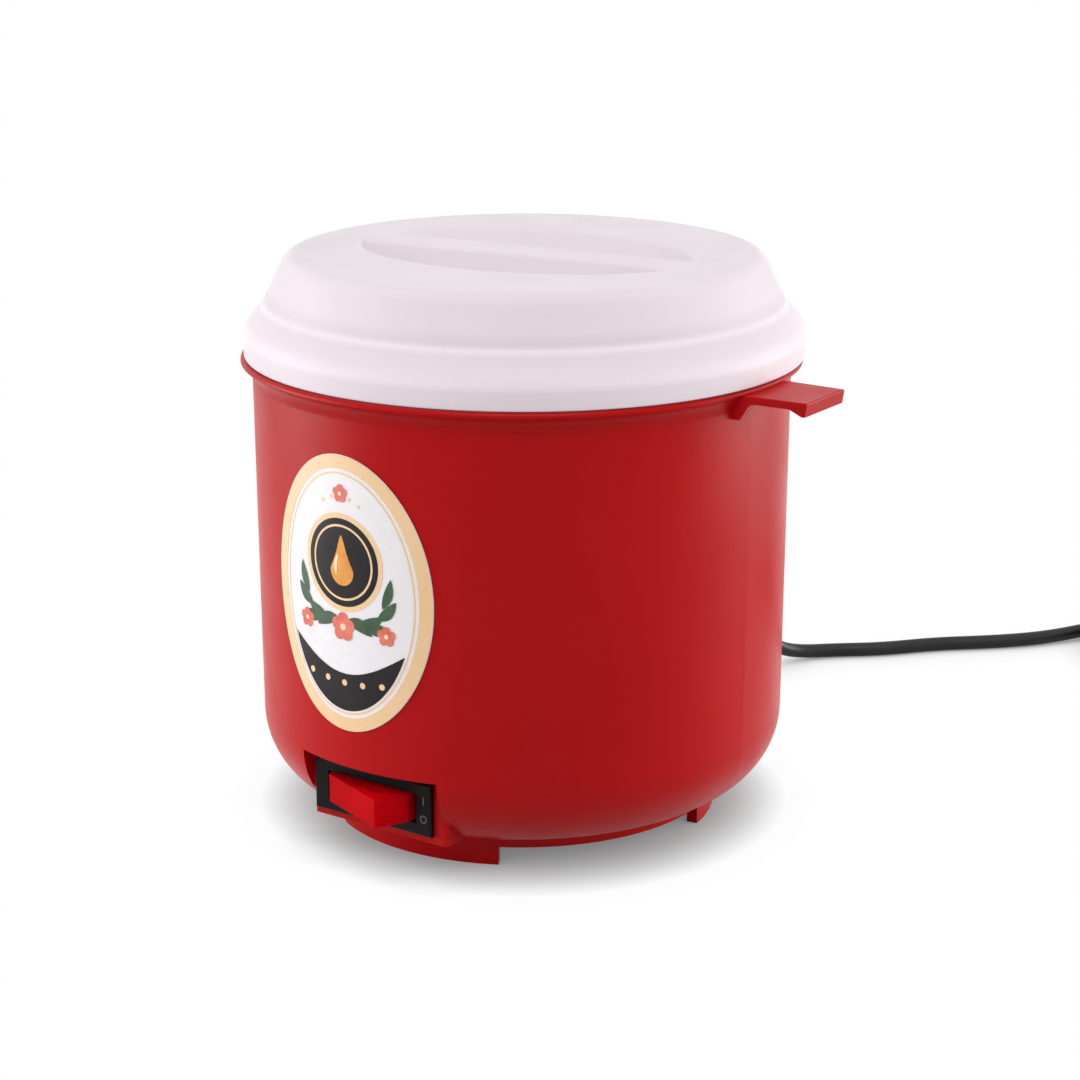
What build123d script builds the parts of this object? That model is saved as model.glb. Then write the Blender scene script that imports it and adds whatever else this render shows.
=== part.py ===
from build123d import *
import math
import os

# Electric wax warmer: a red bucket with a heated aluminium pot, a white lid and a mains cord.
# Millimetres, +Z up, origin on the pot's axis at the surface that the feet stand on.
# The rocker switch faces -Y, the lifting tab points to +X and the cord leaves towards +Y.

os.makedirs("parts", exist_ok=True)

# Fits that every piece shares
overrun = 2.0  # how far a cut runs past the face that it opens
press_gap = 0.05  # between pieces that are clamped, glued or soldered together
hand_fit = 0.3  # between pieces that are put together by hand
running_fit = 0.05  # a turning pin in its hole, on the radius
full_turn = 360.0
quarter_turn = full_turn / 4

# Feet and base cover
foot_height = 5.0
foot_wall = 3.0
front_foot_angle = 58.0
rear_foot_angle = 43.0
foot_count = 3
base_lap = 7.4  # cover beyond the flat of the body's underside
base_plate = 2.0
base_rim = 9.5  # how far the cover reaches under the body
spigot_height = 1.6
spigot_wall = 2.0
nut_recess_radius = 8.5
nut_recess_depth = 4.0
vent_count = 8
vent_length = 12.0
vent_width = 3.0

# Outer body
body_wall = 2.2
wall_draft = 0.8  # the wall draws in by this much towards the floor
bottom_round = 21.0
bottom_rise = 3.0  # the underside climbs by this much between its flat and the wall
flat_inset = 25.3  # from the foot of the wall to the flat
rim_radius = 75.3
rim_overhang = 3.1  # rim beyond the wall below it
rim_wall = 2.6
rim_step = 2.2  # from the top of the rim down to the pot's seat
rim_round = 0.8
lip_edge = 1.2  # upright edge of the rim's lip
lip_round = 0.2
flare_height = 6.2  # from the top of the rim down to where the wall starts to flare out
flare_round_share = 0.94  # of the largest round that fits under the lip

# Lifting tab
tab_turn = 1.8  # degrees
tab_reach = 16.7
tab_width = 22.0
tab_tip_width = 20.0
tab_drop = 1.2  # below the top of the rim
tab_edge = 2.0
tab_skin = 1.5
tab_rib = 2.2
tab_lip = 1.6
tab_lip_height = 3.6
tab_lip_slope = 3.4
tab_lip_round = 3.0
tab_draft = 0.6
tab_round = 0.4
gusset_reach = 0.9
gusset_depth = 6.5
gusset_toe = 1.2
gusset_round = 2.0

# Switch pocket
panel_set_back = 7.4  # of the face that carries the switch, from the foot of the wall
panel_half_width = 22.1
panel_height = 18.6
pocket_lift = 2.7  # bottom of the pocket above the body's floor
pocket_depth = 20.0
panel_round = 1.2

# Label
label_turn = -3.3  # degrees towards -X
label_width = 52.5
label_height = 73.3
label_rise_share = 0.5702  # middle of the label, as a share of the body's height
label_thickness = 0.2
label_glue = 0.15  # between the label and the wall

# Inner pot
pot_gap = 7.4  # between the pot and the outside of the wall
pot_sheet = 1.0
pot_depth = 78.6
pot_bottom_round = 12.0
pot_lip_round = 2.0
flange_clearance = 0.5  # pot flange inside the rim
heater_room = 40.0  # between the body's floor and the pot

# Lid
lid_inset = 0.2  # lid inside the rim's outer edge
lid_aside = (0.6, 0.43)  # the loose lid lies this far off the middle
lid_wall = 2.0
lid_seat_gap = 0.2
lid_skirt_clearance = 1.1
lid_rim_gap = 0.4  # between the rim and the lid's band
lid_edge_round = 0.5
band_height = 7.3
shoulder_round = 7.2
ledge_width = 5.7
ledge_rise = 7.0
ledge_round = 4.0
dome_rise = 12.4
dome_lean = 5.9
dome_round = 4.4
grip_margin = 15.7  # from the dome's upper edge to the end of the grip
grip_width_share = 0.667
grip_depth = 8.0
grip_slope = 4.0  # how far the recess draws in on its way down
bar_half_width = 6.2
grip_turn = 6.3  # degrees that the lid lies turned by
grip_round = 1.2

# Stud, nuts and washers
stud_radius = 2.5
stud_below_nut = 0.5
nut_flats = 8.0
nut_height = 4.0
clamp_washer_radius = 6.0
base_washer_radius = 7.5
washer_thickness = 1.0

# Heater stack under the pot
mica_inset = 1.0  # inside the flat of the pot's bottom
mica_thickness = 0.6
clamp_plate_inset = 2.0
clamp_plate_thickness = 1.5
ribbon_inset = 4.0  # inside the clamp plate
ribbon_inner_end = 13.0
ribbon_half_turn_count = 12
ribbon_width = 2.6
ribbon_thickness = 0.6
element_tab_width = 4.0
element_tab_thickness = 0.8
element_tab_drop = 10.0
element_slot_margin = 2.4  # free space round a tab where it passes the metal plate

# Thermostat
thermostat_place_share = -0.52  # along X, as a share of the mica's radius
cap_radius = 8.5
cap_height = 4.0
ear_length = 34.0
ear_width = 8.0
ear_thickness = 1.0
ear_hole_spacing = 26.0
thermostat_radius = 7.6
thermostat_height = 8.0
thermostat_tab_spacing = 8.0
thermostat_tab_width = 6.3
thermostat_tab_thickness = 0.8
thermostat_tab_length = 7.6
screw_radius = 1.5
screw_head_radius = 2.8
screw_head_height = 1.8

# Thermal fuse
fuse_radius = 2.0
fuse_length = 11.0
fuse_lead_radius = 0.5
fuse_lead_length = 6.0
fuse_place_shares = (0.27, 0.42)  # as shares of the mica's radius

# Rocker switch
switch_aside = 1.2  # the switch sits this far left of the middle
bezel_length = 38.6
bezel_height = 14.5
bezel_thickness = 1.5
bezel_round = 0.4
case_length = 35.6
case_height = 11.8
case_depth = 18.5
case_back_wall = 3.0
case_opening_half_length = 14.7
case_opening_half_height = 4.1
case_fit = 0.1
snap_length = 4.5
snap_height = 6.0
snap_rise = 0.8
pivot_depth = 3.0  # behind the bezel's front
trunnion_radius = 1.25
trunnion_reach = 0.9
rocker_half_height = 3.85
rocker_left = 13.4
rocker_right = 12.8
rocker_left_rise = 4.3  # outwards from the pivot, as are the next two
rocker_right_rise = 4.0
ridge_rise = 12.3
ridge_shift = 8.5
rocker_skirt = 1.5
rocker_wall = 1.2
rocker_round = 0.6
rocker_tilt = 9.0  # degrees from the middle of its travel
guide_radius = 2.4
guide_wall = 0.85
guide_back = 3.6
guide_front = 5.0
plunger_radius = 1.5
plunger_length = 5.6
plunger_tip = 8.0  # from the pivot
spring_radius = 1.1
spring_wire = 0.35
spring_pitch = 0.9
spring_half_turn_count = 7
lamp_radius = 1.6
lamp_x = 4.2
lamp_rise = 6.6
lamp_window_half_length = 2.8
lamp_window_half_width = 1.5
lever_half_length = 11.0
lever_height = 5.0
lever_thickness = 0.8
lever_tilt = 8.0
lever_gap = 0.5
lever_knuckle_radius = 0.6
blade_thickness = 0.8
blade_height = 6.3
blade_spacing = 9.0
blade_outside = 9.5
contact_gap = 0.5

# Mains cord
cord_diameter = 4.4
cord_exit_share = 0.65  # height of the cord's way out, as a share of the heater room
bush_lock = 3.0
bush_lock_gap = 1.0  # behind the curved wall
bush_lock_rise = 1.2
bush_neck_radius = 3.9
bush_flange_radius = 6.2
bush_flange = 2.5
bush_length = 20.4
bush_wide_radius = 4.9
bush_tip_radius = 3.3
stop_length = 4.0
stop_radius = 4.2
inner_cord_length = 19.0
core_offset = 1.15
wire_radius = 0.8
wire_lead = 9.0  # straight stretch at each end of an inner wire
wire_drop_share = 0.65  # how far wires hang under the thermostat, as a share of the room there

# Put-away coil, its tie and the plug
coil_outer_radius = 32.5
coil_step = 2.5  # the turns draw in by this much each half turn
coil_in_count = 6  # half turns in, and below it out again
coil_out_count = 5
coil_layer = 5.0
tie_wall = 0.5
tie_gap = 0.3
tie_side_gap = 0.7
tie_width = 8.0
tail_length = 22.0
plug_relief_length = 10.0
plug_relief_radius = 3.2
plug_relief_wide_radius = 4.4
plug_length = 30.0
plug_width = 23.0
plug_round = 4.0
plug_edge_round = 1.5
pin_spacing = 19.0
pin_radius = 2.0
pin_length = 18.0
pin_tip_round = 1.2

# Levels and radii that follow from these sizes
body_floor = foot_height + base_plate
pot_bottom = body_floor + heater_room
flange_top = pot_bottom + pot_depth
flange_low = flange_top - pot_sheet
seat_height = flange_low - press_gap
rim_top = seat_height + rim_step
flare_drop = flare_height - lip_edge
flare_bend = 2 * math.atan2(rim_overhang, flare_drop)
flare_round = flare_round_share * flare_drop / math.sin(flare_bend)
flare_corner = rim_top - flare_height + flare_drop / (2 * math.cos(flare_bend / 2) ** 2)
rim_bore = rim_radius - rim_wall
wall_top_radius = rim_radius - rim_overhang
wall_low_radius = wall_top_radius - wall_draft
body_flat_radius = wall_low_radius - flat_inset
base_radius = body_flat_radius + base_lap
base_opening_radius = base_radius - base_rim
panel_distance = wall_low_radius - panel_set_back
pocket_bottom = body_floor + pocket_lift
pocket_top = pocket_bottom + panel_height
switch_height = (pocket_bottom + pocket_top) / 2
label_middle = body_floor + label_rise_share * (rim_top - body_floor)
pot_radius = wall_top_radius - pot_gap
lid_radius = rim_radius - lid_inset
mica_radius = pot_radius - pot_bottom_round - mica_inset
clamp_plate_radius = mica_radius - clamp_plate_inset
ribbon_outer_radius = clamp_plate_radius - ribbon_inset
ribbon_step = (ribbon_outer_radius - ribbon_inner_end) / ribbon_half_turn_count
thermostat_x = thermostat_place_share * mica_radius
fuse_x, fuse_y = [share * mica_radius for share in fuse_place_shares]
cord_exit_height = body_floor + cord_exit_share * heater_room
mica_upper_low = pot_bottom - press_gap - mica_thickness
ribbon_low = mica_upper_low - press_gap - ribbon_thickness
mica_lower_low = ribbon_low - press_gap - mica_thickness
plate_low = mica_lower_low - press_gap - clamp_plate_thickness
plate_face = plate_low - press_gap
clamp_washer_low = plate_face - washer_thickness
clamp_nut_low = clamp_washer_low - press_gap - nut_height
recess_roof = foot_height + nut_recess_depth
base_washer_low = recess_roof - press_gap - washer_thickness
base_nut_low = base_washer_low - press_gap - nut_height
cord_radius = cord_diameter / 2
cord_bore = cord_radius + press_gap


def corners(outline):
    """The points of an outline of (across, up, rounding) corners."""
    return [(across, up) for across, up, rounding in outline]


def roundings(outline):
    """The corner radii of an outline of (across, up, rounding) corners."""
    return [rounding for across, up, rounding in outline]


def inset(outline, wall):
    """Moves an open outline to its left by a wall, and fits each rounding to its new side."""
    points = [Vector(*corner) for corner in corners(outline)]
    along = [(after - before).normalized() for before, after in zip(points, points[1:])]
    left = [Vector(-step.Y, step.X) for step in along]
    left_of_corner = zip([left[0]] + left, left + [left[-1]])
    moved = []
    for point, (_, _, rounding), (before, after) in zip(points, outline, left_of_corner):
        place = point + (before + after) * (wall / (1 + before.dot(after)))
        turns_left = before.cross(after).Z > 0
        inner = max(rounding - wall, 0) if turns_left else rounding + wall
        moved.append((place.X, place.Y, inner if rounding else 0))
    return moved


def wall_radius_at(height):
    """Outer radius of the body's slightly tapered wall."""
    wall_foot = body_floor + bottom_rise
    share = (height - wall_foot) / (flare_corner - wall_foot)
    return wall_low_radius + share * (wall_top_radius - wall_low_radius)


def underside_at(radius):
    """Height of the body's sloping underside, inside its rounding."""
    return body_floor + bottom_rise * max(radius - body_flat_radius, 0) / flat_inset


def radial_plane(angle):
    """Upright plane through the axis: across is outwards at this angle from +X, up is +Z."""
    turn = math.radians(angle)
    outwards = (math.cos(turn), math.sin(turn), 0)
    return Plane(origin=(0, 0, 0), x_dir=outwards, z_dir=(math.sin(turn), -math.cos(turn), 0))


def route_radii(points):
    """The largest even bend at each inner point of a cord's route."""
    bend_share = 0.45
    places = [Vector(*point) for point in points]
    runs = [after - before for before, after in zip(places, places[1:])]
    radii = []
    for before, after in zip(runs, runs[1:]):
        half_turn = math.radians(before.get_angle(after)) / 2
        shorter = min(before.length, after.length)
        radii.append(bend_share * shorter / math.tan(half_turn))
    return radii


def start_plane(path):
    """Plane square to the start of a path."""
    return Plane(origin=path @ 0, z_dir=path % 0)


def report_tube(name, tube, path, radius):
    """Prints how a swept tube's volume compares with its section times its length."""
    section = math.pi * radius**2
    print(f"{name}: length {path.length:.1f}, volume share {tube.volume / (section * path.length):.4f}")


def least_gap(path, diameter):
    """Smallest clear distance between two stretches of one wound tube, on sampled points."""
    sample_count = 5  # on each length of one diameter
    apart_count = 3  # stretches closer than this many diameters along the tube aren't compared
    count = math.ceil(path.length / diameter * sample_count)
    points = [tuple(path.position_at(place / count)) for place in range(count + 1)]
    skip = apart_count * sample_count
    nearest = min(
        math.dist(points[first], points[second])
        for first in range(len(points))
        for second in range(first + skip, len(points))
    )
    return nearest - diameter


# Space inside the outer body, with the solid panel of the switch pocket left out of it
cavity_outline = [
    (0, body_floor + body_wall, 0),
    (body_flat_radius, body_floor + body_wall, 0),
    (wall_low_radius - body_wall, body_floor + bottom_rise + body_wall, bottom_round - body_wall),
    (wall_top_radius - body_wall, seat_height, 0),
    (rim_bore, seat_height, 0),
    (rim_bore, rim_top + overrun, 0),
    (0, rim_top + overrun, 0),
]
with BuildPart() as body_cavity:
    with BuildSketch(Plane.XZ):
        with BuildLine():
            FilletPolyline(*corners(cavity_outline), radius=roundings(cavity_outline), close=True)
        make_face()
    revolve(axis=Axis.Z)
    with Locations((0, body_wall - panel_distance, pocket_top + body_wall)):
        Box(
            2 * (panel_half_width + body_wall),
            rim_radius,
            rim_top,
            align=(Align.CENTER, Align.MAX, Align.MAX),
            mode=Mode.SUBTRACT,
        )
    with Locations((0, body_wall - panel_distance, pocket_bottom + body_wall)):
        Box(
            2 * (panel_half_width - body_wall),
            pocket_depth,
            panel_height - body_wall,
            align=(Align.CENTER, Align.MIN, Align.MIN),
        )

# Outer body: bucket, flared rim, lifting tab and switch pocket in one moulding
body_outline = [
    (0, body_floor, 0),
    (body_flat_radius, body_floor, 0),
    (wall_low_radius, body_floor + bottom_rise, bottom_round),
    (wall_top_radius, flare_corner, flare_round),
    (rim_radius, rim_top - lip_edge, lip_round),
    (rim_radius, rim_top, rim_round),
    (0, rim_top, 0),
]
tab_top = rim_top - tab_drop
tab_tip = rim_radius + tab_reach
tab_root = wall_top_radius - body_wall
tab_outline = [
    (tab_root, tab_top, 0),
    (tab_tip, tab_top, 0),
    (tab_tip - tab_draft, tab_top - tab_lip_height, 0),
    (tab_tip - tab_lip, tab_top - tab_lip_height, 0),
    (tab_tip - tab_lip - tab_lip_slope, tab_top - tab_edge, tab_lip_round),
    (rim_radius + gusset_reach, tab_top - tab_edge, gusset_round),
    (wall_top_radius + gusset_toe, tab_top - gusset_depth, 0),
    (tab_root, tab_top - gusset_depth, 0),
]
tab_plan = [
    (tab_root, -tab_width / 2),
    (tab_tip, -tab_tip_width / 2),
    (tab_tip, tab_tip_width / 2),
    (tab_root, tab_width / 2),
]
with BuildPart() as outer_body:
    with BuildSketch(radial_plane(tab_turn)):
        with BuildLine():
            FilletPolyline(*corners(tab_outline), radius=roundings(tab_outline), close=True)
        make_face()
    extrude(amount=tab_width / 2, both=True)
    with BuildSketch(Plane.XY.rotated((0, 0, tab_turn))):
        with BuildLine():
            Polyline(*tab_plan, close=True)
        make_face()
    extrude(amount=rim_top + overrun, mode=Mode.INTERSECT)
    with BuildSketch(radial_plane(tab_turn)):
        with Locations((tab_root, tab_top - tab_skin)):
            Rectangle(tab_tip - tab_lip - tab_root, gusset_depth, align=(Align.MIN, Align.MAX))
    extrude(amount=tab_tip_width / 2 - tab_rib, both=True, mode=Mode.SUBTRACT)
    fillet(outer_body.faces().sort_by(Axis.Z)[-1].edges(), tab_round)
    with BuildSketch(Plane.XZ):
        with BuildLine():
            FilletPolyline(*corners(body_outline), radius=roundings(body_outline), close=True)
        make_face()
    revolve(axis=Axis.Z)
    with BuildSketch(Plane.XY.offset(pocket_bottom)):
        with Locations((0, -panel_distance)):
            block = Rectangle(2 * panel_half_width, pocket_depth, align=(Align.CENTER, Align.MIN))
        fillet(block.vertices().group_by(Axis.Y)[0], panel_round)
    extrude(amount=panel_height + body_wall)
    with Locations((0, -panel_distance, pocket_top)):
        Box(
            2 * panel_half_width,
            rim_radius,
            pocket_top,
            align=(Align.CENTER, Align.MAX, Align.MAX),
            mode=Mode.SUBTRACT,
        )
    add(body_cavity.part, mode=Mode.SUBTRACT)
    with BuildSketch(Plane.XY):
        Circle(base_opening_radius)
    extrude(amount=body_floor + body_wall + overrun, mode=Mode.SUBTRACT)
    with Locations((-switch_aside, -panel_distance, switch_height)):
        Box(
            case_length + 2 * case_fit,
            2 * (body_wall + overrun),
            case_height + 2 * case_fit,
            mode=Mode.SUBTRACT,
        )
    with BuildSketch(Plane.XZ.offset(-wall_top_radius - overrun)):
        with Locations((0, cord_exit_height)):
            Circle(bush_neck_radius + hand_fit)
    extrude(amount=body_wall + 2 * overrun, mode=Mode.SUBTRACT)
outer_body.part.label = "outer_body"
export_step(outer_body.part, "parts/outer_body.step")

# Base cover: plate with a spigot into the body, a raised nut recess, vents and three arc feet
spigot_radius = base_opening_radius - hand_fit
plate_top = body_floor - press_gap
lip_inner_radius = base_radius - foot_wall
base_outline = [
    (stud_radius + hand_fit, recess_roof),
    (nut_recess_radius, recess_roof),
    (nut_recess_radius, foot_height),
    (lip_inner_radius, foot_height),
    (lip_inner_radius, 0),
    (base_radius, 0),
    (base_radius, underside_at(base_radius) - hand_fit),
    (lip_inner_radius, underside_at(lip_inner_radius) - hand_fit),
    (lip_inner_radius, plate_top),
    (spigot_radius, plate_top),
    (spigot_radius, body_floor + spigot_height),
    (spigot_radius - spigot_wall, body_floor + spigot_height),
    (spigot_radius - spigot_wall, plate_top),
    (nut_recess_radius + base_plate, plate_top),
    (nut_recess_radius + base_plate, recess_roof + base_plate),
    (stud_radius + hand_fit, recess_roof + base_plate),
]
front_direction = -quarter_turn
foot_angles = [front_foot_angle] + [rear_foot_angle] * (foot_count - 1)
vent_circle = (spigot_radius - spigot_wall + nut_recess_radius + base_plate) / 2
with BuildPart() as base_cover:
    with BuildSketch(Plane.XZ):
        with BuildLine():
            Polyline(*base_outline, close=True)
        make_face()
    revolve(axis=Axis.Z)
    for place, foot_angle in enumerate(foot_angles):
        foot_end = front_direction + place * full_turn / foot_count + foot_angle / 2
        gap_angle = full_turn / foot_count - (foot_angle + foot_angles[place + 1 - foot_count]) / 2
        with BuildSketch(radial_plane(foot_end)):
            with Locations((lip_inner_radius - overrun, foot_height)):
                Rectangle(foot_wall + 2 * overrun, foot_height + overrun, align=(Align.MIN, Align.MAX))
        revolve(axis=Axis.Z, revolution_arc=gap_angle, mode=Mode.SUBTRACT)
    with BuildSketch(Plane.XY):
        with PolarLocations(vent_circle, vent_count):
            SlotOverall(vent_length, vent_width)
    extrude(amount=body_floor + overrun, mode=Mode.SUBTRACT)
base_cover.part.label = "base_cover"
export_step(base_cover.part, "parts/base_cover.step")

# Label: a thin oval that follows the wall
label_low = label_middle - label_height / 2 - overrun
label_high = label_middle + label_height / 2 + overrun
label_strip = [
    (wall_radius_at(label_low) + label_glue, label_low),
    (wall_radius_at(label_low) + label_glue + label_thickness, label_low),
    (wall_radius_at(label_high) + label_glue + label_thickness, label_high),
    (wall_radius_at(label_high) + label_glue, label_high),
]
with BuildPart() as front_label:
    with BuildSketch(Plane.XZ):
        with BuildLine():
            Polyline(*label_strip, close=True)
        make_face()
    revolve(axis=Axis.Z)
    with BuildSketch(radial_plane(label_turn)):
        with Locations((0, label_middle)):
            Ellipse(label_width / 2, label_height / 2)
    extrude(amount=rim_radius + overrun, mode=Mode.INTERSECT)
front_label.part.label = "front_label"
export_step(front_label.part, "parts/front_label.step")

# Inner pot: spun sheet with a flange that hangs on the body's seat
flange_radius = rim_bore - flange_clearance
pot_outline = [
    (0, pot_bottom, 0),
    (pot_radius, pot_bottom, pot_bottom_round),
    (pot_radius, flange_low, pot_lip_round),
    (flange_radius, flange_low, 0),
    (flange_radius, flange_top, 0),
    (pot_radius - pot_sheet, flange_top, pot_lip_round + pot_sheet),
    (pot_radius - pot_sheet, pot_bottom + pot_sheet, pot_bottom_round - pot_sheet),
    (0, pot_bottom + pot_sheet, 0),
]
with BuildPart() as inner_pot:
    with BuildSketch(Plane.XZ):
        with BuildLine():
            FilletPolyline(*corners(pot_outline), radius=roundings(pot_outline), close=True)
        make_face()
    revolve(axis=Axis.Z)
inner_pot.part.label = "inner_pot"
export_step(inner_pot.part, "parts/inner_pot.step")

# Lid: stepped dome of even wall with a grip bar across an oval recess
skirt_radius = rim_bore - lid_skirt_clearance
skirt_bottom = flange_top + lid_seat_gap
band_bottom = rim_top + lid_rim_gap
shoulder_height = band_bottom + band_height
dome_foot_radius = lid_radius - ledge_width
dome_foot_height = shoulder_height + ledge_rise
dome_top_radius = dome_foot_radius - dome_lean
lid_top = dome_foot_height + dome_rise
grip_half_length = dome_top_radius - grip_margin
grip_half_width = grip_width_share * grip_half_length
lid_skin = [
    (skirt_radius, skirt_bottom, 0),
    (skirt_radius, band_bottom, 0),
    (lid_radius, band_bottom, lid_edge_round),
    (lid_radius, shoulder_height, shoulder_round),
    (dome_foot_radius, dome_foot_height, ledge_round),
    (dome_top_radius, lid_top, dome_round),
    (0, lid_top, 0),
]
lid_outline = lid_skin + inset(lid_skin, lid_wall)[::-1]


def grip_plane(height):
    """Level plane whose X axis runs along the grip bar."""
    turn = math.radians(grip_turn)
    return Plane(origin=(0, 0, height), x_dir=(math.cos(turn), math.sin(turn), 0), z_dir=(0, 0, 1))


def grip_recess(top, grow):
    """The two halves of the grip recess, filled up to a level and with their walls moved out."""
    with BuildPart() as halves:
        for side in (-1, 1):
            for level in (top, lid_top - grip_depth - grow):
                drawn = grip_slope * (lid_top - level) / grip_depth
                with BuildSketch(grip_plane(level)):
                    Ellipse(grip_half_length + grow - drawn, grip_half_width + grow - drawn)
                    with Locations((0, side * (bar_half_width - grow + drawn / 2))):
                        Rectangle(
                            2 * rim_radius,
                            rim_radius,
                            align=(Align.CENTER, Align.MAX if side > 0 else Align.MIN),
                            mode=Mode.SUBTRACT,
                        )
            loft(ruled=True)
    return halves.part


with BuildPart() as lid:
    with BuildSketch(Plane.XZ):
        with BuildLine():
            FilletPolyline(*corners(lid_outline), radius=roundings(lid_outline), close=True)
        make_face()
    revolve(axis=Axis.Z)
    add(grip_recess(lid_top - lid_wall / 2, lid_wall))
    add(grip_recess(lid_top + overrun, 0), mode=Mode.SUBTRACT)
    top_face = lid.faces().sort_by(Axis.Z)[-1]
    fillet([edge for wire in top_face.inner_wires() for edge in wire.edges()], grip_round)
lid.part.position = lid_aside
lid.part.label = "lid"
export_step(lid.part, "parts/lid.step")

# Stud through the heater stack, the body and the base cover
stud_low = base_nut_low - stud_below_nut
with BuildPart() as centre_stud:
    with BuildSketch(Plane.XY.offset(stud_low)):
        Circle(stud_radius)
    extrude(amount=pot_bottom - press_gap - stud_low)
    chamfer(centre_stud.edges().sort_by(Axis.Z)[0], stud_below_nut)
centre_stud.part.label = "centre_stud"
export_step(centre_stud.part, "parts/centre_stud.step")

# Spiral heating ribbon between two mica discs
ribbon_path_points = []
ribbon_ends = [ribbon_outer_radius]
for half_turn in range(ribbon_half_turn_count):
    side = 1 if half_turn % 2 == 0 else -1
    bend = ribbon_outer_radius - half_turn * ribbon_step
    start = ribbon_ends[-1]
    ribbon_ends.append(start - side * 2 * bend)
    ribbon_path_points.append(((start, 0), (start - side * bend, side * bend), (ribbon_ends[-1], 0)))
element_tab_places = [ribbon_inner_end, ribbon_outer_radius]
with BuildPart() as heating_ribbon:
    with BuildSketch(Plane.XY.offset(ribbon_low)):
        with BuildLine():
            for first, middle, last in ribbon_path_points:
                ThreePointArc(first, middle, last)
        trace(line_width=ribbon_width)
    extrude(amount=ribbon_thickness)
heating_ribbon.part.label = "heating_ribbon"
export_step(heating_ribbon.part, "parts/heating_ribbon.step")

with BuildPart() as mica_upper:
    with BuildSketch(Plane.XY.offset(mica_upper_low)):
        Circle(mica_radius)
        Circle(stud_radius + hand_fit, mode=Mode.SUBTRACT)
    extrude(amount=mica_thickness)
mica_upper.part.label = "mica_upper"
export_step(mica_upper.part, "parts/mica_upper.step")

with BuildPart() as mica_lower:
    with BuildSketch(Plane.XY.offset(mica_lower_low)):
        Circle(mica_radius)
        Circle(stud_radius + hand_fit, mode=Mode.SUBTRACT)
        with Locations(*[(place, 0) for place in element_tab_places]):
            Rectangle(
                element_tab_thickness + 2 * hand_fit,
                element_tab_width + 2 * hand_fit,
                mode=Mode.SUBTRACT,
            )
    extrude(amount=mica_thickness)
mica_lower.part.label = "mica_lower"
export_step(mica_lower.part, "parts/mica_lower.step")

with BuildPart() as element_terminals:
    with BuildSketch(Plane.XY.offset(ribbon_low - press_gap)):
        with Locations(*[(place, 0) for place in element_tab_places]):
            Rectangle(element_tab_thickness, element_tab_width)
    extrude(amount=plate_low - element_tab_drop - ribbon_low + press_gap)
element_terminals.part.label = "element_terminals"
export_step(element_terminals.part, "parts/element_terminals.step")

# Clamp plate with its washer and nut, and the holes for the thermostat's two screws
ear_holes = [(thermostat_x, ear_hole_spacing / 2), (thermostat_x, -ear_hole_spacing / 2)]
with BuildPart() as clamp_plate:
    with BuildSketch(Plane.XY.offset(plate_low)):
        Circle(clamp_plate_radius)
        Circle(stud_radius + hand_fit, mode=Mode.SUBTRACT)
        with Locations(*[(place, 0) for place in element_tab_places]):
            Rectangle(
                element_tab_thickness + 2 * element_slot_margin,
                element_tab_width + 2 * element_slot_margin,
                mode=Mode.SUBTRACT,
            )
        with Locations(*ear_holes):
            Circle(screw_radius + press_gap, mode=Mode.SUBTRACT)
    extrude(amount=clamp_plate_thickness)
clamp_plate.part.label = "clamp_plate"
export_step(clamp_plate.part, "parts/clamp_plate.step")

with BuildPart() as clamp_washer:
    with BuildSketch(Plane.XY.offset(clamp_washer_low)):
        Circle(clamp_washer_radius)
        Circle(stud_radius + hand_fit, mode=Mode.SUBTRACT)
    extrude(amount=washer_thickness)
clamp_washer.part.label = "clamp_washer"
export_step(clamp_washer.part, "parts/clamp_washer.step")

with BuildPart() as clamp_nut:
    with BuildSketch(Plane.XY.offset(clamp_nut_low)):
        RegularPolygon(nut_flats / 2, side_count=6, major_radius=False)
        Circle(stud_radius + press_gap, mode=Mode.SUBTRACT)
    extrude(amount=nut_height)
clamp_nut.part.label = "clamp_nut"
export_step(clamp_nut.part, "parts/clamp_nut.step")

# Washer and nut in the recess under the base cover
with BuildPart() as base_washer:
    with BuildSketch(Plane.XY.offset(base_washer_low)):
        Circle(base_washer_radius)
        Circle(stud_radius + hand_fit, mode=Mode.SUBTRACT)
    extrude(amount=washer_thickness)
base_washer.part.label = "base_washer"
export_step(base_washer.part, "parts/base_washer.step")

with BuildPart() as base_nut:
    with BuildSketch(Plane.XY.offset(base_nut_low)):
        RegularPolygon(nut_flats / 2, side_count=6, major_radius=False)
        Circle(stud_radius + press_gap, mode=Mode.SUBTRACT)
    extrude(amount=nut_height)
base_nut.part.label = "base_nut"
export_step(base_nut.part, "parts/base_nut.step")

# Snap-disc thermostat under the clamp plate
cap_low = plate_face - cap_height
ear_low = plate_face - ear_thickness
thermostat_low = cap_low - press_gap - thermostat_height
thermostat_tab_low = thermostat_low - press_gap - thermostat_tab_length
thermostat_tab_places = [
    (thermostat_x - thermostat_tab_spacing / 2, 0),
    (thermostat_x + thermostat_tab_spacing / 2, 0),
]
with BuildPart() as thermostat_cap:
    with BuildSketch(Plane.XY.offset(ear_low)):
        with Locations((thermostat_x, 0)):
            SlotOverall(ear_length, ear_width, rotation=quarter_turn)
        with Locations(*ear_holes):
            Circle(screw_radius + hand_fit, mode=Mode.SUBTRACT)
    extrude(amount=ear_thickness)
    with BuildSketch(Plane.XY.offset(cap_low)):
        with Locations((thermostat_x, 0)):
            Circle(cap_radius)
    extrude(amount=cap_height)
thermostat_cap.part.label = "thermostat_cap"
export_step(thermostat_cap.part, "parts/thermostat_cap.step")

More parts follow.
